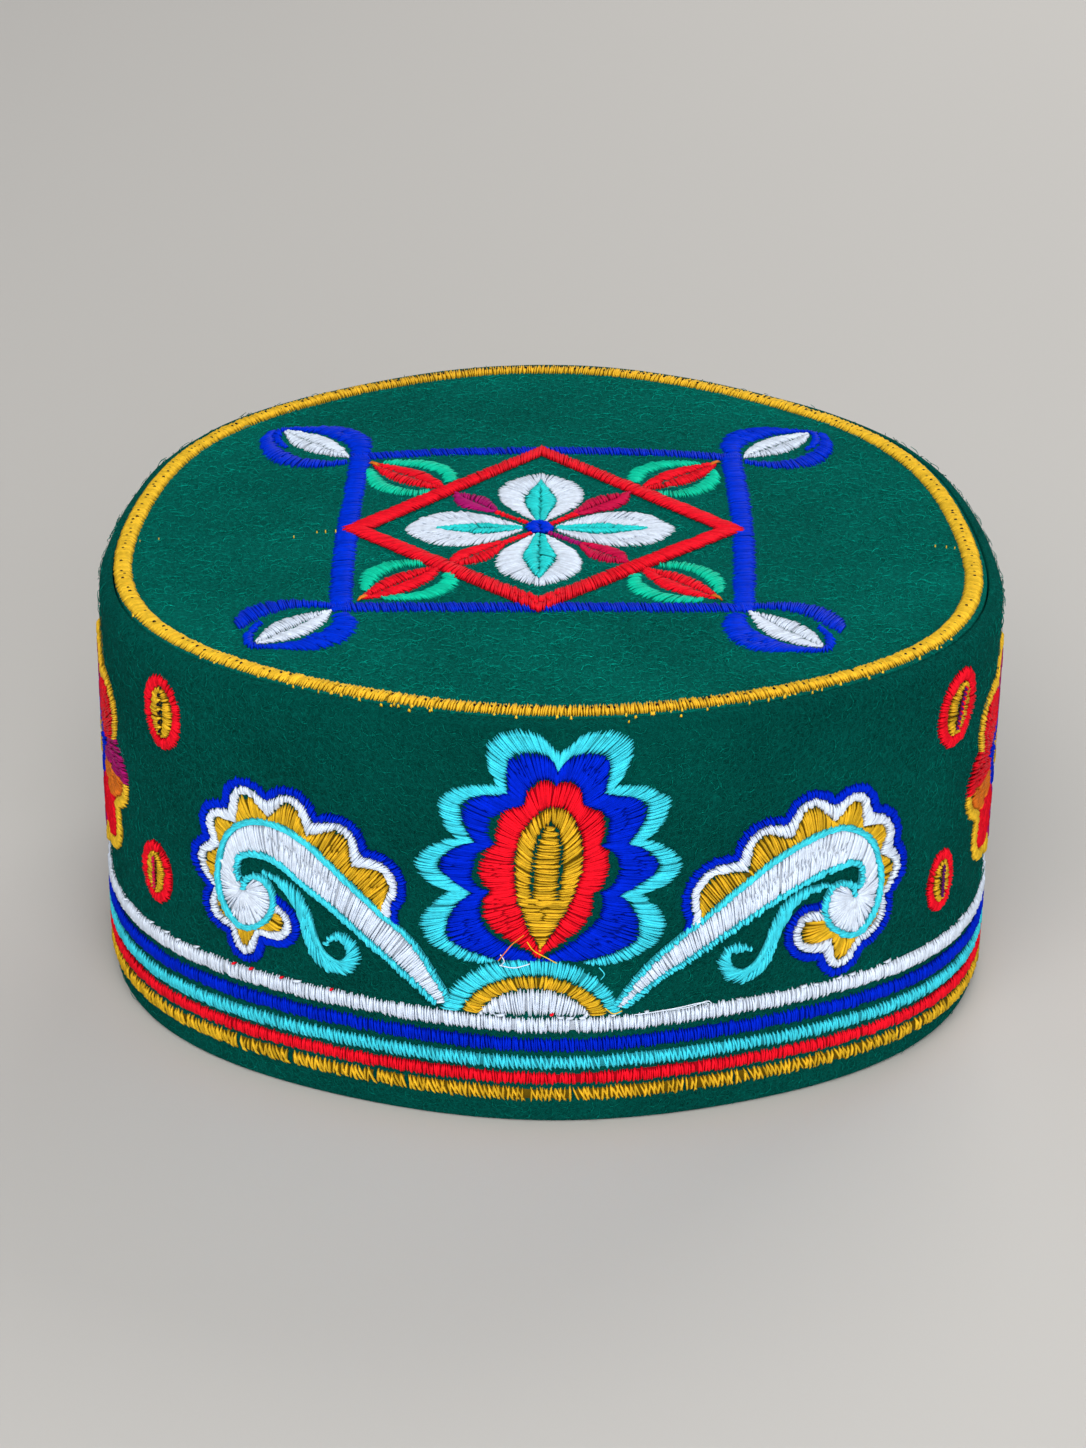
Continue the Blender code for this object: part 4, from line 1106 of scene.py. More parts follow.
def fibre_tree(name):
    """Scatters short bent fibres over a felt surface, clear of the stitched beds."""
    tree, given, result = new_group("GeometryNodeTree", name, {
        "Geometry": "Geometry", "Length": "Float", "Width": "Float", "Density": "Float",
        "Clear Distance": "Float", "Stitched Beds": "Object", "Seed": "Int", "Felt": "Material",
    }, {"Geometry": "Geometry"})
    node = partial(add_node, tree)
    start, middle, end = FIBRE_BEND
    bend = node("GeometryNodeCurveQuadraticBezier", {
        "Resolution": 3, "Start": start, "Middle": middle, "End": end,
    })
    section = node("GeometryNodeCurvePrimitiveCircle", mode="RADIUS")
    put(tree, live(section.inputs, "Resolution"), 3)
    put(tree, live(section.inputs, "Radius"), calc(tree, "DIVIDE", given["Width"], given["Length"]))
    tube = node("GeometryNodeCurveToMesh", {"Curve": bend, "Profile Curve": section, "Fill Caps": True})
    smooth = node("GeometryNodeSetShadeSmooth", {"Geometry": tube})
    strewn = node("GeometryNodeDistributePointsOnFaces", {
        "Mesh": given["Geometry"], "Selection": named(tree, "fuzzy", "BOOLEAN"),
        "Density": given["Density"], "Seed": given["Seed"],
    }, distribute_method="RANDOM")
    kept = stored(tree, strewn.outputs["Points"], "facing", "QUATERNION", strewn.outputs["Rotation"])
    beds = node("GeometryNodeObjectInfo", {"Object": given["Stitched Beds"]}, transform_space="ORIGINAL")
    nearest = node("GeometryNodeProximity", {"Geometry": beds.outputs["Geometry"]}, target_element="FACES")
    near = node("FunctionNodeCompare", {"A": nearest.outputs["Distance"], "B": given["Clear Distance"]},
                data_type="FLOAT", operation="LESS_THAN")
    free = node("GeometryNodeDeleteGeometry", {"Geometry": kept, "Selection": near}, domain="POINT")
    spin = joined_xyz(tree, *(chance(tree, low, high, seed) for low, high, seed in FIBRE_TURNS))
    turned = node("FunctionNodeRotateRotation", {
        0: named(tree, "facing", "QUATERNION"), 1: node("FunctionNodeEulerToRotation", {0: spin}),
    }, rotation_space="LOCAL")
    laid = node("GeometryNodeInstanceOnPoints", {
        "Points": free, "Instance": smooth, "Rotation": turned,
        "Scale": calc(tree, "MULTIPLY", given["Length"], chance(tree, *FIBRE_SCALE)),
    })
    painted_end(tree, node("GeometryNodeRealizeInstances", {0: laid}), ("facing",), given["Felt"], result)
    return tree


def made_mesh(thing):
    """A plain mesh of an object as it's evaluated."""
    bpy.context.view_layer.update()
    held = bpy.context.evaluated_depsgraph_get()
    return bpy.data.meshes.new_from_object(thing.evaluated_get(held))


def grown(thing, tree, settings):
    """Run a geometry tree on an object and keep its result as a plain mesh."""
    modifier = thing.modifiers.new("grow", "NODES")
    modifier.node_group = tree
    for item in tree.interface.items_tree:
        if item.item_type == "SOCKET" and item.in_out == "INPUT" and item.name in settings:
            modifier[item.identifier] = settings[item.name]
    mesh = made_mesh(thing)
    thing.modifiers.clear()
    old = thing.data
    thing.data = mesh
    bpy.data.meshes.remove(old)
    mesh.name = thing.name
    return thing


def linked(name, data):
    """A new object in the scene."""
    thing = bpy.data.objects.new(name, data)
    bpy.context.scene.collection.objects.link(thing)
    return thing


def marked(mesh, name, kind, values):
    """Keep a value for each point of a mesh."""
    layer = mesh.attributes.new(name, kind, "POINT")
    layer.data.foreach_set("vector" if kind == "FLOAT_VECTOR" else "value", values)


def stitched_piece(name, work, thread, node):
    """Turn gathered needlework into one piece that stands for its solid."""
    STITCHED_BEDS.append((work.points, work.faces))
    mesh = bpy.data.meshes.new(name)
    mesh.from_pydata([*work.points, *(row[0] for row in work.strands)], [], work.faces)
    mesh.shade_smooth()
    padding = len(work.points)
    marked(mesh, "is_strand", "BOOLEAN", [False] * padding + [True] * len(work.strands))
    for label, column in (("reach", 1), ("outward", 2)):
        values = [x for row in work.strands for x in row[column]]
        marked(mesh, label, "FLOAT_VECTOR", [0.0] * 3 * padding + values)
    # The padded bed's points get the tone that the thread's finish darkens as painted shade
    marked(mesh, "tone", "FLOAT", [PADDING_TONE] * padding + [row[3] for row in work.strands])
    marked(mesh, "loft", "FLOAT", [1.0] * padding + [row[4] for row in work.strands])
    sizes = bpy.context.scene.cap_sizes
    thing = grown(linked(name, mesh), shared("laid_strands", strand_tree), {
        "Strand Width": sizes.strand_width,
        "Strand Rise": sizes.strand_rise,
        "Width Spread": sizes.width_spread,
        "Seed": len(work.strands),
        "Thread": thread_material(thread),
    })
    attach(thing, BODY)
    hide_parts(node)


def stitched_pieces(node, works):
    """One piece for each thread of a motif."""
    for thread, work in works.items():
        stitched_piece(f"{node}_{thread}", work, thread, node)


def noise_of(tree, place, scale, detail):
    """Noise over a place: its socket of values and its socket of colours."""
    given = {"Vector": place, "Scale": scale, "Detail": detail, "Distortion": 0.0}
    return add_node(tree, "ShaderNodeTexNoise", given).outputs


def ranged(tree, value, low, high, new_low, new_high):
    """A value moved from one range to another."""
    given = {"Value": value, "From Min": low, "From Max": high, "To Min": new_low, "To Max": new_high}
    return add_node(tree, "ShaderNodeMapRange", given)


def felt_group(name):
    """Matted curly fibres: shade and height."""
    tree, given, result = new_group("ShaderNodeTree", name, {
        "Place": "Vector", "Fibre Scale": "Float",
    }, {"Shade": "Float", "Height": "Float"})
    place = given["Place"]
    heights, shades = None, None
    for index, (scale, bend) in enumerate(FELT_LAYERS):
        wobble = noise_of(tree, place, FELT_WOBBLE * (index + 1), 1.0)["Color"]
        centred = add_node(tree, "ShaderNodeVectorMath", {0: wobble, 1: (0.5, 0.5, 0.5)},
                           operation="SUBTRACT")
        moved = add_node(tree, "ShaderNodeVectorMath", {0: centred, 1: (bend, bend, bend), 2: place},
                         operation="MULTIPLY_ADD")
        finer = calc(tree, "MULTIPLY", given["Fibre Scale"], scale)
        cells = add_node(tree, "ShaderNodeTexVoronoi", feature="DISTANCE_TO_EDGE")
        put(tree, cells.inputs["Vector"], moved)
        put(tree, cells.inputs["Scale"], finer)
        fibre = ranged(tree, cells.outputs["Distance"], 0.0, FELT_FIBRE_EDGE, 1.0, 0.0)
        heights = fibre if heights is None else calc(tree, "MAXIMUM", heights, fibre)
        shades = fibre if shades is None else calc(tree, "ADD", shades, fibre)
    cloud = noise_of(tree, place, FELT_CLOUDS, 3.0)["Fac"]
    speckle = noise_of(tree, place, FELT_SPECKLES, 2.0)["Fac"]
    shade = calc(tree, "MULTIPLY_ADD", shades, 0.30, 0.62)
    shade = calc(tree, "MULTIPLY_ADD", calc(tree, "SUBTRACT", cloud, 0.5), 0.9, shade)
    shade = calc(tree, "MULTIPLY_ADD", calc(tree, "SUBTRACT", speckle, 0.5), 1.1, shade)
    put(tree, result["Shade"], shade)
    put(tree, result["Height"], calc(tree, "MULTIPLY_ADD", speckle, 0.6, heights))
    return tree


def thread_group(name):
    """Tone and twist of laid thread, with painted shade at its ends and on its bed between the strands."""
    tree, given, result = new_group(
        "ShaderNodeTree", name,
        {"Place": "Vector", "Variation": "Float", "End Shade": "Float", "Bed Shade": "Float"},
        {"Shade": "Float", "Height": "Float"})
    tone, along = (add_node(tree, "ShaderNodeAttribute", attribute_name=label).outputs["Fac"]
                   for label in ("tone", "along"))
    # Painted shade: the strand darkens towards its ends, where it dives into the felt
    end = ranged(tree, calc(tree, "ABSOLUTE", along), 0.34, 0.5, 1.0, given["End Shade"])
    own = ranged(tree, tone, 0.0, 1.0, calc(tree, "SUBTRACT", 1.0, given["Variation"]), 1.08)
    mottled = ranged(tree, noise_of(tree, given["Place"], THREAD_MOTTLE, 2.0)["Fac"], 0.3, 0.7, 0.88, 1.08)
    shade = calc(tree, "MULTIPLY", calc(tree, "MULTIPLY", own, end), mottled)
    # Painted shade: the padded bed, seen in the gaps between the strands, is darkened
    bed_painted_shade = ranged(tree, calc(tree, "LESS_THAN", tone, -0.5), 0.0, 1.0, 1.0, given["Bed Shade"])
    put(tree, result["Shade"], calc(tree, "MULTIPLY", shade, bed_painted_shade))
    put(tree, result["Height"], noise_of(tree, given["Place"], THREAD_TWIST, 1.0)["Fac"])
    return tree


def material_with(name, group, settings, colour, plain, bump):
    """A principled material with plain values, and colour and relief from a shader group."""
    material = bpy.data.materials.new(name)
    material.use_nodes = True
    tree = material.node_tree
    shader = tree.nodes["Principled BSDF"]
    node = add_node(tree, "ShaderNodeGroup")
    node.node_tree = group
    put(tree, node.inputs["Place"], add_node(tree, "ShaderNodeTexCoord").outputs["Object"])
    for label, value in settings.items():
        node.inputs[label].default_value = value
    shaded = add_node(tree, "ShaderNodeVectorMath", operation="SCALE")
    shaded.inputs[0].default_value = colour
    put(tree, shaded.inputs["Scale"], node.outputs["Shade"])
    put(tree, shader.inputs["Base Color"], shaded)
    strength, distance = bump
    given = {"Strength": strength, "Distance": distance, "Height": node.outputs["Height"]}
    put(tree, shader.inputs["Normal"], add_node(tree, "ShaderNodeBump", given))
    for label, value in plain.items():
        shader.inputs[label].default_value = value
    return material


def thread_material(name):
    """The finish of a thread, made when it's first asked for."""
    found = bpy.data.materials.get("thread_work_" + name)
    if found:
        return found
    colours = bpy.context.scene.cap_colours
    colour = tuple(getattr(colours, name)) if hasattr(colours, name) else THREADS[name]
    # Tone variation, then the painted shade at the strands' ends and on their bed
    settings = dict(zip(("Variation", "End Shade", "Bed Shade"), THREAD_TONE_AND_PAINTED_SHADE.get(name, PLAIN_TONE_AND_PAINTED_SHADE)))
    plain = {"Roughness": 0.42, "Specular IOR Level": 0.05, "Specular Tint": (*colour, 1.0)}
    group = shared("laid_thread", thread_group)
    return material_with("thread_work_" + name, group, settings, colour, plain, THREAD_BUMP)


def felt_material(name, painted_light, sheen):
    """Felt with painted light: its colour is scaled up where its nap catches the light, on the top and on the
    loose fibres.
    """
    colour = tuple(painted_light * part for part in bpy.context.scene.cap_colours.felt)
    plain = {
        "Roughness": 1.0, "Specular IOR Level": 0.02, "Sheen Weight": sheen, "Sheen Roughness": 0.5,
        "Sheen Tint": (0.0, 0.70, 0.58, 1.0),
    }
    settings = {"Fibre Scale": FELT_SCALE}
    return material_with(name, shared("matted_fibres", felt_group), settings, colour, plain, FELT_BUMP)


def felt_piece(name, loops, caps, fuzzy, node, painted_light):
    """A closed felt shell from loops of points round the cap, with marks where loose fibres grow."""
    shell = bmesh.new()
    rings = [[shell.verts.new(point) for point in loop] for loop in loops]
    count = len(rings[0])
    marks = shell.faces.layers.bool.new("fuzzy")
    for index in range(len(rings) - 1 if caps else len(rings)):
        ring, following = rings[index], rings[(index + 1) % len(rings)]
        for column in range(count):
            other = (column + 1) % count
            face = shell.faces.new((ring[column], ring[other], following[other], following[column]))
            face[marks] = index in fuzzy
    for ring in (rings[0], rings[-1]) if caps else ():
        centre = shell.verts.new(sum((vert.co for vert in ring), Vector()) / count)
        for column in range(count):
            face = shell.faces.new((ring[column], ring[(column + 1) % count], centre))
            face[marks] = ring is rings[-1]
    bmesh.ops.recalc_face_normals(shell, faces=shell.faces)
    mesh = bpy.data.meshes.new(name)
    shell.to_mesh(mesh)
    shell.free()
    mesh.shade_smooth()
    mesh.materials.append(felt_material("matted_" + name, painted_light, FELT_SHEEN))
    thing = linked(name, mesh)
    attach(thing, BODY)
    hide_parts(node)


def soft_wave(x, y, z):
    """Slow uneven swelling of hand-worked felt, from about -1 to 1."""
    broad = noise.noise(Vector((x, y, z)) * 0.045)
    fine = noise.noise(Vector((x + 91.0, y, z)) * 0.16)
    return broad + 0.4 * fine


def round_place(theta, radius):
    """Place round the cap's axis in the plan."""
    return radius * math.sin(theta), PLAN_SHIFT - radius * math.cos(theta)


class CAP_OT_felt(bpy.types.Operator):
    """Make the felt wall and the felt top"""

    bl_idname = "cap.felt"
    bl_label = "Felt wall and top"

    def execute(self, context):
        turns = [2 * math.pi * column / COLUMNS for column in range(COLUMNS)]
        bulge = context.scene.cap_sizes.felt_bulge / MM
        self.wall(turns, bulge)
        self.top(turns, bulge)
        return {"FINISHED"}

    @staticmethod
    def wall(turns, bulge):
        """The wall's profile, as inset and height: hem, outer side, rounded edge, seam and inner side."""
        straight = CAP_HEIGHT - TOP_EDGE_RADIUS
        profile = list(HEM_PROFILE)
        outer_from = len(profile) - 4
        hem = profile[-1][1]
        for row in range(1, WALL_ROWS + 1):
            profile.append((0.0, hem + (straight - hem) * row / WALL_ROWS))
        for step in range(1, EDGE_STEPS + 1):
            angle = math.radians(EDGE_STEP_ANGLE * step)
            inset = TOP_EDGE_RADIUS * (1 - math.cos(angle))
            profile.append((inset, straight + TOP_EDGE_RADIUS * math.sin(angle)))
        profile += [(inset, CAP_HEIGHT - drop) for inset, drop in SEAM_PROFILE]
        outer_to = len(profile) - 1
        seam_foot = SEAM_PROFILE[-1][1]
        for row in range(1, INNER_ROWS):
            height = CAP_HEIGHT - seam_foot - (CAP_HEIGHT - seam_foot - 1.0) * row / INNER_ROWS
            profile.append((FELT_THICKNESS, height))
        loops = []
        for index, (inset, height) in enumerate(profile):
            loop = []
            for theta in turns:
                x, y = round_place(theta, plan_radius(theta) - inset)
                if outer_from <= index < outer_to - 2:
                    swell = bulge * soft_wave(x, y, height) * min(1.0, height / CALM_HEIGHT)
                    x += math.sin(theta) * swell
                    y -= math.cos(theta) * swell
                loop.append(Vector((x, y, height)) * MM)
            loops.append(loop)
        hairy = range(outer_from + 3, outer_to - 5)
        felt_piece("felt_wall", loops, False, hairy, "side_band", WALL_PAINTED_LIGHT)

    @staticmethod
    def top(turns, bulge):
        """The top from the middle of its underside, round its edge and back to the middle."""
        rim = FELT_THICKNESS + SEAM_GAP
        underside = CAP_HEIGHT - FELT_THICKNESS
        edge = TOP_EDGE_PROFILE[-1][0]
        rows = [(0.0, share, underside) for share in (0.1, 0.5, 0.9)]
        rows += [(inset, 1.0, CAP_HEIGHT - drop) for inset, drop in TOP_EDGE_PROFILE]
        rows += [(edge, 1 - ring / TOP_RINGS, None) for ring in range(1, TOP_RINGS)]
        loops = []
        for inset, share, height in rows:
            loop = []
            for theta in turns:
                x, y = round_place(theta, (plan_radius(theta) - rim - inset) * share)
                waved = CAP_HEIGHT + 0.5 * bulge * soft_wave(x, y, TOP_WAVE_PLACE)
                loop.append(Vector((x, y, waved if height is None else height)) * MM)
            loops.append(loop)
        # The top's felt colour is lightened by painted light
        felt_piece("felt_top", loops, True, range(6, len(loops)), "crown_top", TOP_PAINTED_LIGHT)


class CAP_OT_fibres(bpy.types.Operator):
    """Scatter loose fibres over the felt that the stitches leave free"""

    bl_idname = "cap.fibres"
    bl_label = "Loose fibres"

    def execute(self, context):
        sizes = context.scene.cap_sizes
        mesh = bpy.data.meshes.new("stitched_beds")
        points, faces = [], []
        for bed_points, bed_faces in STITCHED_BEDS:
            faces += [tuple(len(points) + corner for corner in face) for face in bed_faces]
            points += bed_points
        mesh.from_pydata(points, [], faces)
        beds = linked("stitched_beds", mesh)
        # The loose fibres take the felt's colour lightened by painted light, for the light that their nap
        # catches
        for part, density, painted_light in (
            ("wall", sizes.wall_fibres, WALL_PAINTED_LIGHT),
            ("top", sizes.top_fibres, TOP_PAINTED_LIGHT),
        ):
            name = "fibres_" + part
            surface = bpy.data.objects["felt_" + part].data.copy()
            piece = grown(linked(name, surface), shared("loose_fibres", fibre_tree), {
                "Length": sizes.fibre_length,
                "Width": sizes.fibre_width,
                "Density": float(density),
                "Clear Distance": sizes.fibre_gap,
                "Stitched Beds": beds,
                "Seed": SEEDS[part + "_fibres"],
                "Felt": felt_material("loose_" + name, painted_light * FIBRE_PAINTED_LIGHT, FIBRE_SHEEN),
            })
            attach(piece, BODY)
        bpy.data.objects.remove(beds)
        bpy.data.meshes.remove(mesh)
        return {"FINISHED"}


def ring_point(theta, offset):
    """Point beside the middle of the gold ring, in the plan of the top."""
    middle, wide, depth = RING_BULGE
    angle = (math.degrees(theta) - middle + 180.0) % 360.0 - 180.0
    radius = plan_radius(theta) * RING_SHARE + depth * math.exp(-((angle / wide) ** 2)) + offset
    return radius * math.sin(theta), -radius * math.cos(theta)


class CAP_OT_ring(bpy.types.Operator):
    """Stitch the gold ring round the top"""

    bl_idname = "cap.ring"
    bl_label = "Gold ring"

    def execute(self, context):
        work = Needlework(SEEDS["ring"], RING_LOFT, 2 * RING_WIDTH)
        draw = work.draw
        half = RING_WIDTH / 2
        outer, inner = ([ring_point(2 * math.pi * step / 360, offset) for step in range(361)]
                        for offset in (half, -half))
        work.rows(outer, inner, top_place, "ring", closed=True)
        for _ in range(RING_ENDS):
            theta = draw.gauss(0.0, RING_END_SPREAD) + (math.pi if draw.random() < RING_END_BEHIND else 0.0)
            x, y = ring_point(theta, half + draw.uniform(*RING_END_AWAY))
            turn = theta + draw.uniform(-RING_END_TURN, RING_END_TURN)
            size = draw.uniform(*RING_END_LENGTH)
            tip = (x + size * math.cos(turn), y + size * math.sin(turn))
            work.between((x, y), tip, top_place, SPECK_LIFT)
        for x, y in TOP_SPECKS:
            work.between((x, y), (x + draw.uniform(*SPECK_LENGTH), y), top_place, SPECK_LIFT, 0.5)
        stitched_piece("gold_ring_work", work, "yellow", "gold_ring")
        # The needle holes are short black strands laid over the ring: painted shade in the holes
        holes = Needlework(SEEDS["holes"], HOLE_LOFT)
        count = round(2 * math.pi * MEAN_RADIUS * RING_SHARE / HOLE_SPACING)
        for index in range(count):
            theta = 2 * math.pi * (index + holes.draw.uniform(-0.25, 0.25)) / count
            x, y = ring_point(theta, holes.draw.uniform(-0.5, 0.4))
            if holes.draw.random() < HOLES_CLOSED:
                continue
            dx, dy = HOLE_HALF * math.sin(theta), -HOLE_HALF * math.cos(theta)
            holes.between((x - dx, y - dy), (x + dx, y + dy), top_place, HOLE_LIFT)
        stitched_piece("gold_ring_holes", holes, "black", "gold_ring")
        return {"FINISHED"}


def front_angle(theta):
    """Degrees from the front, from -180 to 180."""
    return math.degrees(math.atan2(math.sin(theta), math.cos(theta)))


def stripe_dip(theta):
    """How far the stripes hang below their front height."""
    angle = front_angle(theta)
    return sum(depth * math.exp(-(((angle - middle) / wide) ** 2)) for middle, wide, depth in STRIPE_DIPS)


def stripe_height(theta, middle):
    """Height of a stripe's middle: it dips at both sides and sags in front, more for a higher stripe."""
    wide, depth = FRONT_SAG
    sag = depth * middle / STRIPES[0][2] * math.exp(-((front_angle(theta) / wide) ** 2))
    return middle - stripe_dip(theta) - sag


class CAP_OT_stripes(bpy.types.Operator):
    """Stitch the five stripes round the base"""

    bl_idname = "cap.stripes"
    bl_label = "Stripes"

    def execute(self, context):
        around = 2 * math.pi * MEAN_RADIUS
        for index, (node, thread, middle, width, zigzag) in enumerate(STRIPES):
            work = Needlework(SEEDS["stripes"] + index)
            draw = work.draw
            upper, lower = [], []
            for step in range(361):
                u = around * (step / 360 - 0.5)
                height = stripe_height(u / MEAN_RADIUS, middle)
                height += STRIPE_WANDER * noise.noise(Vector((u * 0.09, index * 7.0, 0.0)))
                upper.append((u, height + width / 2))
                lower.append((u, height - width / 2))
            gaps = []
            spot = 0.0
            while thread == "gold" and spot < around:
                spot += draw.uniform(*GOLD_RUN)
                gaps.append((spot, spot + draw.uniform(*GOLD_BREAK)))
            work.rows(upper, lower, wall_place, node, zigzag=zigzag, closed=True, gaps=gaps)
            for _ in range(WHITE_ENDS if thread == "white" else 0):
                u = draw.uniform(-around / 2, around / 2)
                v = stripe_height(u / MEAN_RADIUS, middle) + draw.uniform(*WHITE_END_RISE)
                end = (u + draw.uniform(*WHITE_END_ALONG), v + draw.uniform(*WHITE_END_UP))
                work.between((u, v), end, wall_place, 0.1)
            stitched_piece(node + "_work", work, thread, node)
        return {"FINISHED"}


def flower_run(points, side):
    """One run of the flower on its right (side 1) or left (side -1) half."""
    return [(FLOWER_MIDDLE + side * across + FLOWER_LEAN * (v - FLOWER_MID_HEIGHT), v)
            for across, v in smooth_run(points)]


def almond_run(rows, side):
    """One edge beside the middle line of the gold almond, from rows of height and half width."""
    (foot_u, foot_v), (head_u, head_v) = GOLD_FOOT, GOLD_HEAD
    run = []
    for v, half in smooth_run(rows, 5):
        share = (v - foot_v) / (head_v - foot_v)
        run.append((foot_u + (head_u - foot_u) * share + side * half, v))
    return run


def joined_runs(runs):
    """Several runs end to end as one."""
    whole = list(runs[0])
    for run in runs[1:]:
        whole += run[1:]
    return whole


class CAP_OT_flowers(bpy.types.Operator):
    """Stitch the tall flowers in front and behind"""

    bl_idname = "cap.flowers"
    bl_label = "Tall flowers"

    def execute(self, context):
        for (panel, offset), seed in zip(PANELS, SEEDS["flowers"]):
            place = beside(offset)
            works = works_of(seed, "turquoise", "blue", "red", "gold")
            for side in (-1, 1):
                outer = [flower_run(run, side) for run in FLOWER_OUTER]
                blue = [flower_run(run, side) for run in FLOWER_BLUE]
                red = [smooth_run(run) for run in FLOWER_RED[side]]
                gold = [smooth_run(run) for run in FLOWER_GOLD[side]]
                blue_inner = [red[0], *(smooth_run(run) for run in FLOWER_BLUE_INNER[side])]
                for index in range(4):
                    works["turquoise"].rows(outer[index], blue[index], place, "flower_edge")
                    works["red"].rows(red[index], gold[index], place, "flower_red")
                blue[3] = joined_runs([blue[3], flower_run(FLOWER_FOOT, side)])
                for run, inner in zip(blue, blue_inner):
                    works["blue"].rows(run, inner, place, "flower_blue")
                upper = [spot for spot in joined_runs(gold) if spot[1] > GOLD_LOW_ROWS - GOLD_OVERLAP]
                works["gold"].rows(upper, almond_run(GOLD_CORE, side), place, "flower_gold")
            works["gold"].rows(almond_run(GOLD_SEED, -1), almond_run(GOLD_SEED, 1), place, "flower_seed")
            left, right = ([spot for spot in smooth_run(FLOWER_GOLD[side][3]) if spot[1] < GOLD_LOW_ROWS]
                           for side in (-1, 1))
            works["gold"].rows(left, right, place, "flower_foot")
            stitched_pieces(panel + "_flower", works)
        return {"FINISHED"}


def arch_run(middle, half_width, rise):
    """Half ellipse from its left foot to its right foot."""
    start = math.asin(min(1.0, (ARCH_FOOT - ARCH_CENTRE_HEIGHT) / rise))
    run = []
    for step in range(41):
        angle = math.pi - start - (math.pi - 2 * start) * step / 40
        run.append((middle + half_width * math.cos(angle), ARCH_CENTRE_HEIGHT + rise * math.sin(angle)))
    return run


class CAP_OT_arches(bpy.types.Operator):
    """Stitch the arches under the tall flowers"""

    bl_idname = "cap.arches"
    bl_label = "Arches"

    def execute(self, context):
        runs = [arch_run(*sizes) for sizes in ARCH_LAYERS.values()]
        left, right = runs[-1][0][0], runs[-1][-1][0]
        runs.append([(left + (right - left) * step / 20, ARCH_FOOT - 0.2) for step in range(21)])
        for (panel, offset), seed in zip(PANELS, SEEDS["arches"]):
            works = works_of(seed, *ARCH_LAYERS)
            for (thread, work), outer, inner in zip(works.items(), runs, runs[1:]):
                work.rows(outer, inner, beside(offset), "arch_" + thread)
            stitched_pieces(panel + "_arch", works)
        return {"FINISHED"}


def left_crossing(first, second):
    """Crossing of two round lobes on the left of the way from one to the next."""
    (ax, ay, a), (bx, by, b) = first, second
    gap = math.hypot(bx - ax, by - ay)
    along = (gap * gap + a * a - b * b) / (2 * gap)
    away = math.sqrt(max(0.0, a * a - along * along))
    dx, dy = (bx - ax) / gap, (by - ay) / gap
    return (ax + dx * along - dy * away, ay + dy * along + dx * away)


def scroll_layers(side):
    """A scroll's lobes as runs, drawn as on the left, and its spine.

    Each lobe has its outer edge, white edge, gold dome and the dome's foot on the spine. The spine is the
    outer edge of the head and the stem, from the knob round to the foot.
    """
    stem = [(a, b) for a, b, _, _ in reversed(STEM_RUNGS[side])]
    spine = smooth_run([*reversed(HEAD_RUN), *stem[1:]], 6)
    marks = stations(spine)
    lobes = SCROLL_LOBES[side]
    notches = [SCROLL_START[side], *map(left_crossing, lobes, lobes[1:]), SCROLL_END[side]]
    last = len(notches) - 1
    feet = []
    for u, v in notches:
        gaps = [math.hypot(x - u, y - v) for x, y in spine]
        feet.append(marks[gaps.index(min(gaps))])

    def on_spine(station):
        """Point of the spine at a length along it."""
        return point_at(spine, marks, station / marks[-1])

    def sunk(index, depth):
        """A notch moved inwards by a depth."""
        if index in (0, last):
            return on_spine(feet[index] + (depth if index == 0 else -depth))
        (x, y), (fx, fy) = notches[index], on_spine(feet[index])
        gap = math.hypot(fx - x, fy - y) or 1.0
        share = min(depth, gap * NOTCH_LIMIT) / gap
        return (x + (fx - x) * share, y + (fy - y) * share)

    layers = []
    for index, (cu, cv, radius) in enumerate(lobes):
        start, end = (math.atan2(v - cv, u - cu) for u, v in notches[index:index + 2])
        while end > start:
            end -= 2 * math.pi
        runs = []
        for depth, trim, deeper in LOBE_EDGES:
            trim = math.radians(trim)
            arc = arc_run((cu, cv), radius - depth, start - trim, end + trim)
            runs.append([sunk(index, depth + deeper), *arc, sunk(index + 1, depth + deeper)])
        low = feet[index] + (GOLD_FIRST_GAP if index == 0 else 0.0)
        high = feet[index + 1] - (GOLD_LAST_GAP if index == last - 1 else 0.0)
        runs.append([on_spine(low + (high - low) * step / 12) for step in range(13)])
        layers.append(runs)
    return layers, spine


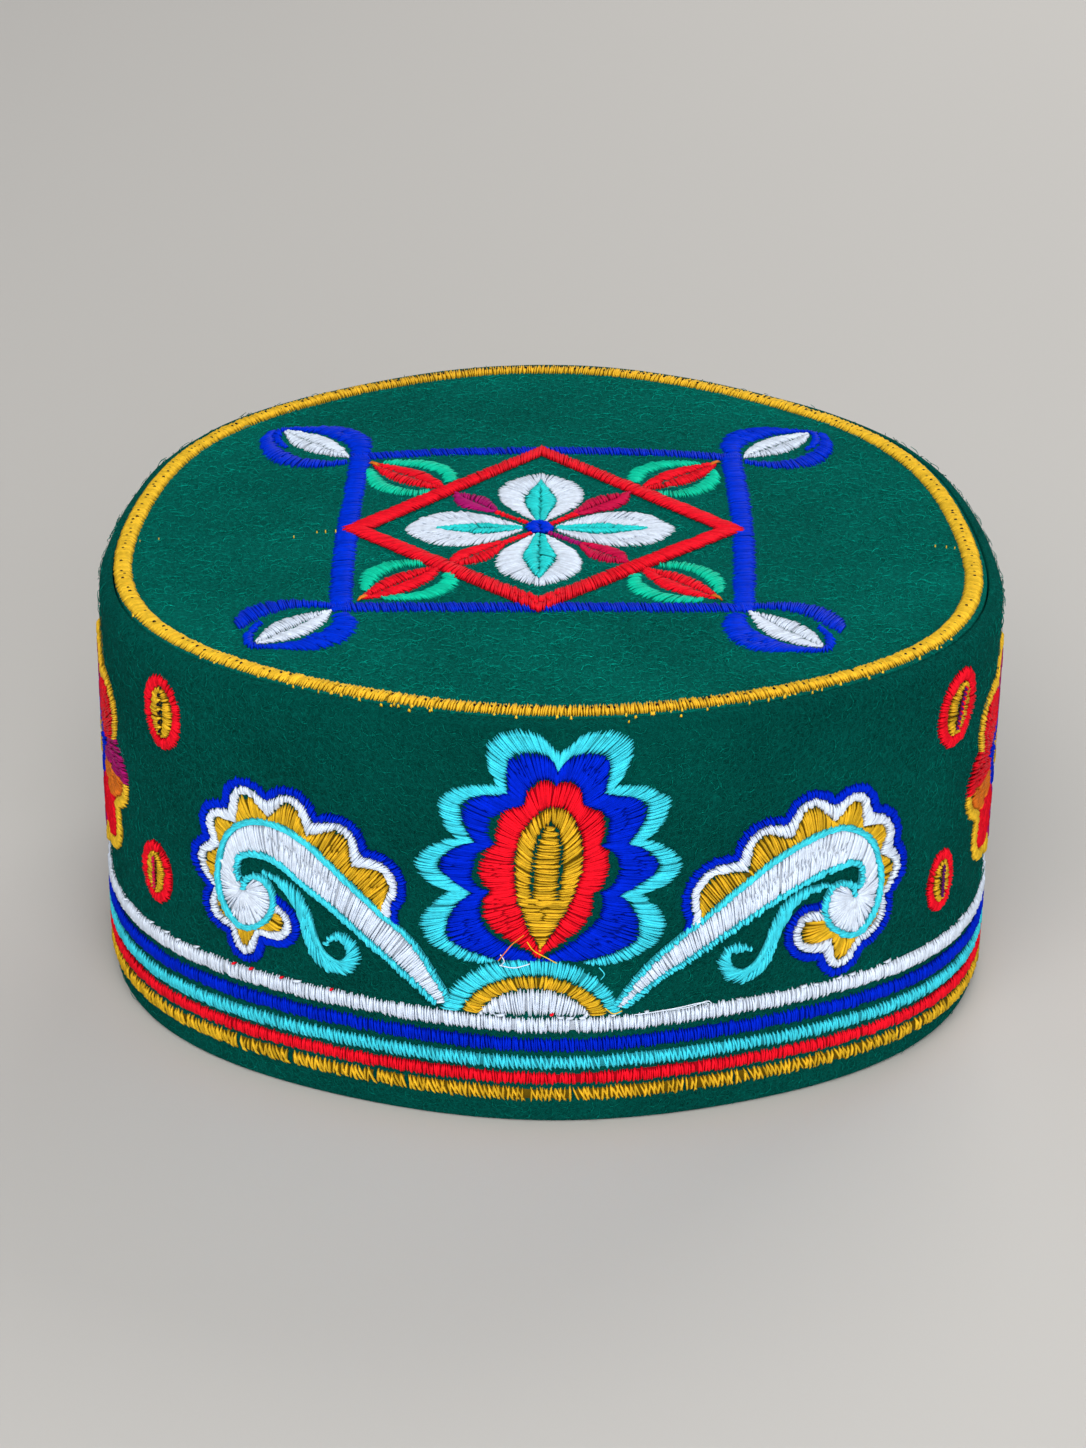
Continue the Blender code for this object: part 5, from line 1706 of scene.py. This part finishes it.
class CAP_OT_scrolls(bpy.types.Operator):
    """Stitch the scalloped scrolls and the curled tendrils"""

    bl_idname = "cap.scrolls"
    bl_label = "Scrolls and tendrils"

    def execute(self, context):
        head = smooth_run(HEAD_RUN, 4)
        pivot = arc_run(SCROLL_PIVOT, PIVOT_RADIUS, math.radians(PIVOT_START), math.radians(PIVOT_END))
        knob = smooth_run(HEAD_TIP, 4)[::-1]
        seed = SEEDS["scrolls"]
        for panel, offset in PANELS:
            place = beside(offset)
            for side in ("left", "right"):
                def mirrored(run):
                    """The run as it lies on this side."""
                    return run if side == "left" else [(SCROLL_MIRROR - u, v) for u, v in run]

                layers, spine = scroll_layers(side)
                rungs = smooth_run(STEM_RUNGS[side], 5)
                stem_outer = [(a, b) for a, b, _, _ in rungs]
                stem_inner = [(c, d) for _, _, c, d in rungs]
                works = works_of(seed, "blue", "white", "gold", "turquoise")
                works["white"].stitch = WHITE_STITCH
                for runs in layers:
                    outer, white, dome, foot = map(mirrored, runs)
                    works["blue"].rows(outer, white, place, "scroll_edge")
                    works["white"].rows(white, dome, place, "scroll_white")
                    works["gold"].rows(dome, foot, place, "scroll_gold")
                works["white"].rows(mirrored(stem_outer), mirrored(stem_inner), place, "stem")
                works["white"].rows(mirrored(head), mirrored(pivot), place, "head")
                for run in (joined_runs([knob, spine]), stem_inner[::-1]):
                    first, second = side_runs([(x, y, EDGING_HALF) for x, y in mirrored(run)])
                    works["turquoise"].rows(first, second, place, "edging")
                stitched_pieces(f"scroll_{panel}_{side}", works)
                curl = Needlework(seed + 5)
                first, second = side_runs(TENDRILS[side])
                curl.rows(first, second, place, "tendril")
                node = f"tendril_{panel}_{side}"
                stitched_piece(node + "_work", curl, "turquoise", node)
                seed += SEED_STEP
        return {"FINISHED"}


def oval_run(u, v, half_width, half_height, turn=0.0, start=0.0, end=360.0, steps=48):
    """Part of a leaning ellipse, in degrees counter-clockwise from its right end."""
    lean = math.radians(turn)
    run = []
    for step in range(steps + 1):
        angle = math.radians(start + (end - start) * step / steps)
        x, y = half_width * math.cos(angle), half_height * math.sin(angle)
        run.append((u + x * math.cos(lean) - y * math.sin(lean), v + x * math.sin(lean) + y * math.cos(lean)))
    return run


class CAP_OT_ovals(bpy.types.Operator):
    """Stitch the small ovals beside the scrolls"""

    bl_idname = "cap.ovals"
    bl_label = "Ovals"

    def execute(self, context):
        for (panel, offset), first_seed in zip(PANELS, SEEDS["ovals"]):
            place = beside(offset)
            for index, (name, u, v, wide, high, turn, gold_wide, gold_high, slit) in enumerate(OVALS):
                node = f"oval_{panel}_{name}"
                red, gold, marks = works_of(first_seed + SEED_STEP * index, "red", "gold", "marks").values()
                hole = oval_run(u, v, gold_wide, gold_high, turn)
                red.rows(oval_run(u, v, wide, high, turn), hole, place, "oval_edge", closed=True)
                for side in (-1, 1):
                    edge = oval_run(u, v, gold_wide * side, gold_high, turn, -SLIT_END, SLIT_END, 24)
                    half, high_slit = SLIT_HALF * side, gold_high * SLIT_SHARE
                    lip = oval_run(u, v, half, high_slit, turn, -SLIT_END, SLIT_END, 24)
                    gold.rows(edge, lip, place, "oval_gold", turn=side)
                lean = math.radians(turn)
                for step in range(SLIT_MARKS):
                    away = gold_high * MARKS_SHARE * (2 * (step + 0.5) / SLIT_MARKS - 1)
                    x, y = u - away * math.sin(lean), v + away * math.cos(lean)
                    if slit == "beads" and step % 2:
                        gold.between((x - MARK_HALF, y), (x + MARK_HALF, y), place, BEAD_LIFT, 1.0)
                    else:
                        marks.between((x, y - MARK_REACH), (x, y + MARK_REACH), place, MARK_LIFT, 0.5)
                    if slit == "lined":
                        low, high_mark = (x + MARK_HALF, y - LINE_REACH), (x + MARK_HALF, y + LINE_REACH)
                        red.between(low, high_mark, place, MARK_LIFT)
                stitched_piece(node + "_red", red, "red", node)
                stitched_piece(node + "_gold", gold, "gold", node)
                stitched_piece(node + "_slit", marks, SLIT_THREADS[slit], node)
        return {"FINISHED"}


class CAP_OT_rosettes(bpy.types.Operator):
    """Stitch the round flowers at the sides"""

    bl_idname = "cap.rosettes"
    bl_label = "Rosettes"

    def execute(self, context):
        step = 2 * math.pi / ROSETTE_PETALS
        half = step / 2
        notch = ROSETTE_REACH * math.cos(half) + math.sqrt(
            PETAL_RADIUS**2 - (ROSETTE_REACH * math.sin(half)) ** 2)
        for node, u, v, seed, front_petal, dot_turn, upper_thread in ROSETTES:
            works = works_of(seed, "yellow", "red", "magenta", "blue", "gold", "orange")

            def polar(radius, angle):
                """Point at a distance and an angle from the rosette's middle."""
                return (u + radius * math.cos(angle), v + radius * math.sin(angle))

            for petal in range(ROSETTE_PETALS):
                middle = step * petal
                centre = polar(ROSETTE_REACH, middle)
                first, last = (math.atan2(y - centre[1], x - centre[0])
                               for x, y in (polar(notch, middle - half), polar(notch, middle + half)))
                while last < first:
                    last += 2 * math.pi
                outer, inner = ([
                    polar(notch - edge, middle - half),
                    *arc_run(centre, PETAL_RADIUS - edge, first + PETAL_TRIM, last - PETAL_TRIM, 12),
                    polar(notch - edge, middle + half),
                ] for edge in (0.0, ROSETTE_EDGE))
                heart, eye = (arc_run((u, v), radius, middle - half, middle + half, 6)
                              for radius in (ROSETTE_HEART, ROSETTE_EYE))
                if petal == front_petal:
                    self.split_petal(works, outer, inner, heart, v, upper_thread)
                    x, y = polar(ROSETTE_HEART + DOT_AWAY, middle + dot_turn)
                    ring, core = (oval_run(x, y, wide, high, math.degrees(middle))
                                  for wide, high in DOT_SIZES)
                    works["blue"].rows(ring, core, wall_place, "petal_dot", closed=True, pad=False)
                else:
                    works["yellow"].rows(outer, inner, wall_place, "petal_edge")
                    works["red" if petal % 2 else "magenta"].rows(inner, heart, wall_place, "petal_fill")
                works["blue"].rows(heart, eye, wall_place, "rosette_heart")
            rim, core = (oval_run(u, v, radius, radius) for radius in (ROSETTE_EYE, ROSETTE_CORE))
            works["gold"].rows(rim, core, wall_place, "rosette_eye", closed=True)
            stitched_pieces(node, works)
        return {"FINISHED"}

    @staticmethod
    def split_petal(works, outer, inner, heart, v, upper_thread):
        """The petal that faces forwards: plain above its middle, edged in yellow below."""
        for part in (0, 1):
            edge, lip, foot = ((run[:len(run) // 2 + 1], run[len(run) // 2:])[part]
                               for run in (outer, inner, heart))
            if edge[0][1] + edge[-1][1] > 2 * v:
                works[upper_thread].rows(edge, foot, wall_place, "petal_whole")
            else:
                works["yellow"].rows(edge, lip, wall_place, "petal_edge")
                works["orange"].rows(lip, foot, wall_place, "petal_fill")


def measured_run(rows, start, end, side):
    """A run from rows of millimetres along a line and across it."""
    dx, dy = end[0] - start[0], end[1] - start[1]
    span = math.hypot(dx, dy)
    dx, dy = dx / span, dy / span
    run = []
    for along, across in smooth_run(rows, 5):
        away = across * side
        run.append((start[0] + dx * along - dy * away, start[1] + dy * along + dx * away))
    return run


def local_run(shape, start, end, half):
    """A run beside the line from start to end, from rows of shares of its length and of half a width."""
    span = math.hypot(end[0] - start[0], end[1] - start[1])
    return measured_run([(share * span, width * half) for share, width in shape], start, end, 1)


class CAP_OT_top_frame(bpy.types.Operator):
    """Stitch the square frame, the diamond and the almonds round them"""

    bl_idname = "cap.top_frame"
    bl_label = "Frame and diamond"

    def execute(self, context):
        bars = Needlework(SEEDS["frame"], TOP_LOFT)
        for line, width in FRAME_BARS:
            first, second = side_runs([(x, y, width / 2) for x, y in line])
            bars.rows(first, second, middle_place, "frame")
        stitched_piece("top_frame_work", bars, "royal", "top_frame")
        diamond = Needlework(SEEDS["diamond"], TOP_LOFT)
        for index in range(4):
            outer, inner = ([corners[index], corners[(index + 1) % 4]]
                            for corners in (DIAMOND_OUTER, DIAMOND_INNER))
            diamond.rows(outer, inner, middle_place, "diamond", turn=-1 if index % 2 else 1)
        stitched_piece("top_diamond_work", diamond, "red", "top_diamond")
        for number, (name, *tips) in enumerate(CORNER_ALMONDS):
            open_cup = CORNER_CUP_CLOSED if name.startswith("back") else CORNER_CUP
            wrap = CORNER_WRAP_SIDE[name]
            cups = {wrap: CORNER_CUP_WRAPPED, -wrap: open_cup}
            seed = SEEDS["corners"] + 2 * number
            self.almond("top_corner_" + name, tips, cups, ("white", "royal"), CORNER_HALF, seed)
        for number, (name, *tips) in enumerate(BUD_ALMONDS):
            self.flame("top_bud_" + name, *tips, SEEDS["flames"] + number)
            cups = {-1: BUD_CUP, 1: BUD_CUP}
            seed = SEEDS["buds"] + 2 * number
            self.almond("top_bud_" + name, tips, cups, ("red", "mint"), BUD_HALF, seed)
        return {"FINISHED"}

    @staticmethod
    def almond(node, tips, cups, threads, half, seed):
        """An almond between its inner and outer tip, with a cup on each side."""
        kernel, sides = Needlework(seed, TOP_LOFT), Needlework(seed + 1, TOP_LOFT)
        for side in (-1, 1):
            edge = local_run(ALMOND_SHAPE, *tips, side * half)
            kernel.rows(edge, local_run(((0.0, 0.0), (1.0, 0.0)), *tips, 0.0), middle_place, "almond")
            outer, inner = (measured_run(run, *tips, side) for run in cups[side])
            sides.rows(outer, inner, middle_place, "cup")
        stitched_piece(node + "_almond", kernel, threads[0], node)
        stitched_piece(node + "_cup", sides, threads[1], node)

    @staticmethod
    def flame(node, inner_tip, outer_tip, seed):
        """Two orange strands at the outer tip of a bud."""
        along = (Vector(outer_tip) - Vector(inner_tip)).normalized()
        flame = Needlework(seed, TOP_LOFT)
        for shift in (-FLAME_SHIFT, FLAME_SHIFT):
            away = Vector((-along.y, along.x)) * shift
            start = Vector(outer_tip) - along * FLAME_INWARDS + away
            end = Vector(outer_tip) + along * FLAME_OUTWARDS + away * FLAME_CLOSING
            flame.between(start, end, middle_place, FLAME_LIFT)
        stitched_piece(node + "_flame", flame, "orange", node)


class CAP_OT_top_flower(bpy.types.Operator):
    """Stitch the flower in the middle of the top"""

    bl_idname = "cap.top_flower"
    bl_label = "Top flower"

    def execute(self, context):
        kx, ky = KNOT_MIDDLE
        for number, (name, direction, *petal) in enumerate(TOP_PETALS):
            start, reach, half, leaf_start, leaf_reach, leaf_half = petal
            node = "top_petal_" + name
            dx, dy = math.cos(math.radians(direction)), math.sin(math.radians(direction))
            foot, tip, leaf_foot, leaf_tip = ((kx + dx * distance, ky + dy * distance)
                                              for distance in (start, reach, leaf_start, leaf_reach))
            seed = SEEDS["petals"] + 2 * number
            white = Needlework(seed, TOP_LOFT, WHITE_STITCH)
            leaf = Needlework(seed + 1, TOP_LOFT)
            for side in (-1, 1):
                edge = local_run(PETAL_SHAPE, foot, tip, side * half)
                heart = local_run(PETAL_LEAF_SHAPE, leaf_foot, leaf_tip, side * leaf_half)
                white.rows(edge, heart, middle_place, "top_petal")
                leaf.rows(heart, [leaf_foot, leaf_tip], middle_place, "petal_leaf")
            stitched_piece(node + "_white", white, "white", node)
            stitched_piece(node + "_leaf", leaf, "aqua", node)
        for number, (name, foot, start, tip, stem_thread, leaf_thread) in enumerate(TOP_LEAVES):
            node = "top_leaf_" + name
            stem, leaf = (Needlework(SEEDS["leaves"] + 2 * number + part, TOP_LOFT) for part in (0, 1))
            target = leaf if stem_thread == leaf_thread else stem
            left, right = (local_run(STEM_SHAPE, foot, start, side * LEAF_HALF_WIDTH) for side in (1, -1))
            target.rows(left, right, middle_place, "leaf_stem")
            for side in (-1, 1):
                edge = local_run(LEAF_SHAPE, start, tip, side * LEAF_HALF_WIDTH)
                leaf.rows(edge, [start, tip], middle_place, "leaf")
            stitched_piece(node + "_leaf", leaf, leaf_thread, node)
            if target is stem:
                stitched_piece(node + "_stem", stem, stem_thread, node)
        knot = Needlework(SEEDS["knot"], TOP_LOFT)
        for side in (-1, 1):
            edge = oval_run(kx, ky, KNOT_HALF * side, KNOT_HALF, 0.0, -86, 86, 16)
            knot.rows(edge, [(kx, ky - KNOT_HALF), (kx, ky + KNOT_HALF)], middle_place, "knot")
        stitched_piece("top_knot_work", knot, "royal", "top_knot")
        return {"FINISHED"}


class CAP_OT_stray_threads(bpy.types.Operator):
    """Add the loose thread ends and flecks of the stitched work"""

    bl_idname = "cap.stray_threads"
    bl_label = "Stray threads"

    def execute(self, context):
        for thread, paths in STRAY_THREADS.items():
            curve = bpy.data.curves.new("stray_" + thread, "CURVE")
            curve.dimensions = "3D"
            curve.bevel_depth = STRAY_RADIUS
            curve.bevel_resolution = 1
            curve.use_fill_caps = True
            for rows in paths:
                line = smooth_run(rows, 5)
                spline = curve.splines.new("POLY")
                spline.points.add(len(line) - 1)
                for point, (u, v, lift) in zip(spline.points, line):
                    point.co = (*wall_place(u, v, lift)[0], 1.0)
            thing = linked("stray_curve", curve)
            mesh = made_mesh(thing)
            bpy.data.objects.remove(thing)
            mesh.materials.clear()
            mesh.materials.append(thread_material(thread))
            marked(mesh, "tone", "FLOAT", [0.9] * len(mesh.vertices))
            mesh.shade_smooth()
            piece = linked("stray_ends_" + thread, mesh)
            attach(piece, BODY)
        flecks = Needlework(SEEDS["red_flecks"])
        for u in RED_FLECKS:
            v = RED_FLECK_HEIGHT - stripe_dip(u / MEAN_RADIUS)
            size = flecks.draw.uniform(*RED_FLECK_LENGTH)
            flecks.between((u, v), (u + size, v + size * 0.5), wall_place, RED_FLECK_LIFT, 0.9)
        stitched_piece("flecks_red", flecks, "red", "stripe_red")
        specks = Needlework(SEEDS["gold_flecks"])
        draw = specks.draw
        for u in GOLD_FLECKS:
            v = draw.uniform(*GOLD_FLECK_HEIGHT)
            size = draw.uniform(*GOLD_FLECK_LENGTH)
            end = (u + size, v + draw.uniform(-GOLD_FLECK_SLOPE, GOLD_FLECK_SLOPE))
            specks.between((u, v), end, wall_place, GOLD_FLECK_LIFT, 0.9)
        stitched_piece("flecks_gold", specks, "gold", "gold_ring")
        return {"FINISHED"}


class CAP_OT_stage(bpy.types.Operator):
    """Set the floor, the soft light and the camera"""

    bl_idname = "cap.stage"
    bl_label = "Stage"

    def execute(self, context):
        scene = context.scene
        settings = scene.cap_stage
        mesh = bpy.data.meshes.new("floor")
        corners = [(x * FLOOR_HALF, y * FLOOR_HALF, 0) for x, y in ((-1, -1), (1, -1), (1, 1), (-1, 1))]
        mesh.from_pydata(corners, [], [(0, 1, 2, 3)])
        material = bpy.data.materials.new("pale_floor")
        material.use_nodes = True
        shader = material.node_tree.nodes["Principled BSDF"]
        shader.inputs["Base Color"].default_value = (*settings.floor_colour, 1.0)
        shader.inputs["Roughness"].default_value = 0.7
        mesh.materials.append(material)
        linked("floor", mesh)

        world = bpy.data.worlds.new("room")
        world.use_nodes = True
        background = world.node_tree.nodes["Background"]
        background.inputs["Color"].default_value = ROOM_COLOUR
        background.inputs["Strength"].default_value = settings.sky
        scene.world = world
        powers = {
            "key": settings.key_power,
            "fill": settings.fill_power,
            "back": settings.fill_power * BACK_SHARE,
        }
        for name, width, place, colour in LAMPS:
            lamp = bpy.data.lights.new(name, "AREA")
            lamp.energy, lamp.size, lamp.color = powers[name], width, colour
            thing = linked(name, lamp)
            thing.location = place
            aim = Vector(LAMP_TARGET) - Vector(place)
            thing.rotation_euler = aim.to_track_quat("-Z", "Y").to_euler()

        camera = bpy.data.cameras.new("camera")
        camera.lens = FOCAL_PIXELS / PICTURE_HEIGHT * SENSOR
        camera.sensor_width = SENSOR
        camera.clip_start, camera.clip_end = 0.05, 50.0
        viewer = linked("camera", camera)
        turn = Matrix((CAMERA_RIGHT, CAMERA_UP, [-x for x in CAMERA_FORWARD])).transposed()
        viewer.rotation_mode = "QUATERNION"
        viewer.rotation_quaternion = turn.to_quaternion()
        x, y, z = CAMERA_PLACE
        viewer.location = (x * MM, (y + PLAN_SHIFT) * MM, z * MM)
        scene.camera = viewer
        scene.view_settings.view_transform = "Standard"
        return {"FINISHED"}


OPERATORS = (
    CAP_OT_felt,
    CAP_OT_ring,
    CAP_OT_stripes,
    CAP_OT_flowers,
    CAP_OT_arches,
    CAP_OT_scrolls,
    CAP_OT_ovals,
    CAP_OT_rosettes,
    CAP_OT_top_frame,
    CAP_OT_top_flower,
    CAP_OT_stray_threads,
    CAP_OT_fibres,
    CAP_OT_stage,
)


class CAP_PT_panel(bpy.types.Panel):
    """Sizes, colours and steps of the felt cap"""

    bl_label = "Felt cap"
    bl_idname = "CAP_PT_panel"
    bl_space_type = "VIEW_3D"
    bl_region_type = "UI"
    bl_category = "Felt cap"

    def draw(self, context):
        scene = context.scene
        for group in (scene.cap_sizes, scene.cap_colours, scene.cap_stage):
            box = self.layout.box()
            for name in group.__annotations__:
                box.prop(group, name)
        for operator in OPERATORS:
            self.layout.operator(operator.bl_idname)


GROUPS = (
    ("cap_sizes", CapSizes),
    ("cap_colours", CapColours),
    ("cap_stage", StageSettings),
)


def register():
    for name, group in GROUPS:
        bpy.utils.register_class(group)
        setattr(bpy.types.Scene, name, bpy.props.PointerProperty(type=group))
    for operator in OPERATORS:
        bpy.utils.register_class(operator)
    bpy.utils.register_class(CAP_PT_panel)


def unregister():
    bpy.utils.unregister_class(CAP_PT_panel)
    for operator in reversed(OPERATORS):
        bpy.utils.unregister_class(operator)
    for name, group in reversed(GROUPS):
        delattr(bpy.types.Scene, name)
        bpy.utils.unregister_class(group)


def main():
    register()
    for operator in OPERATORS:
        _, step = operator.bl_idname.split(".")
        getattr(bpy.ops.cap, step)()


if __name__ == "__main__":
    main()
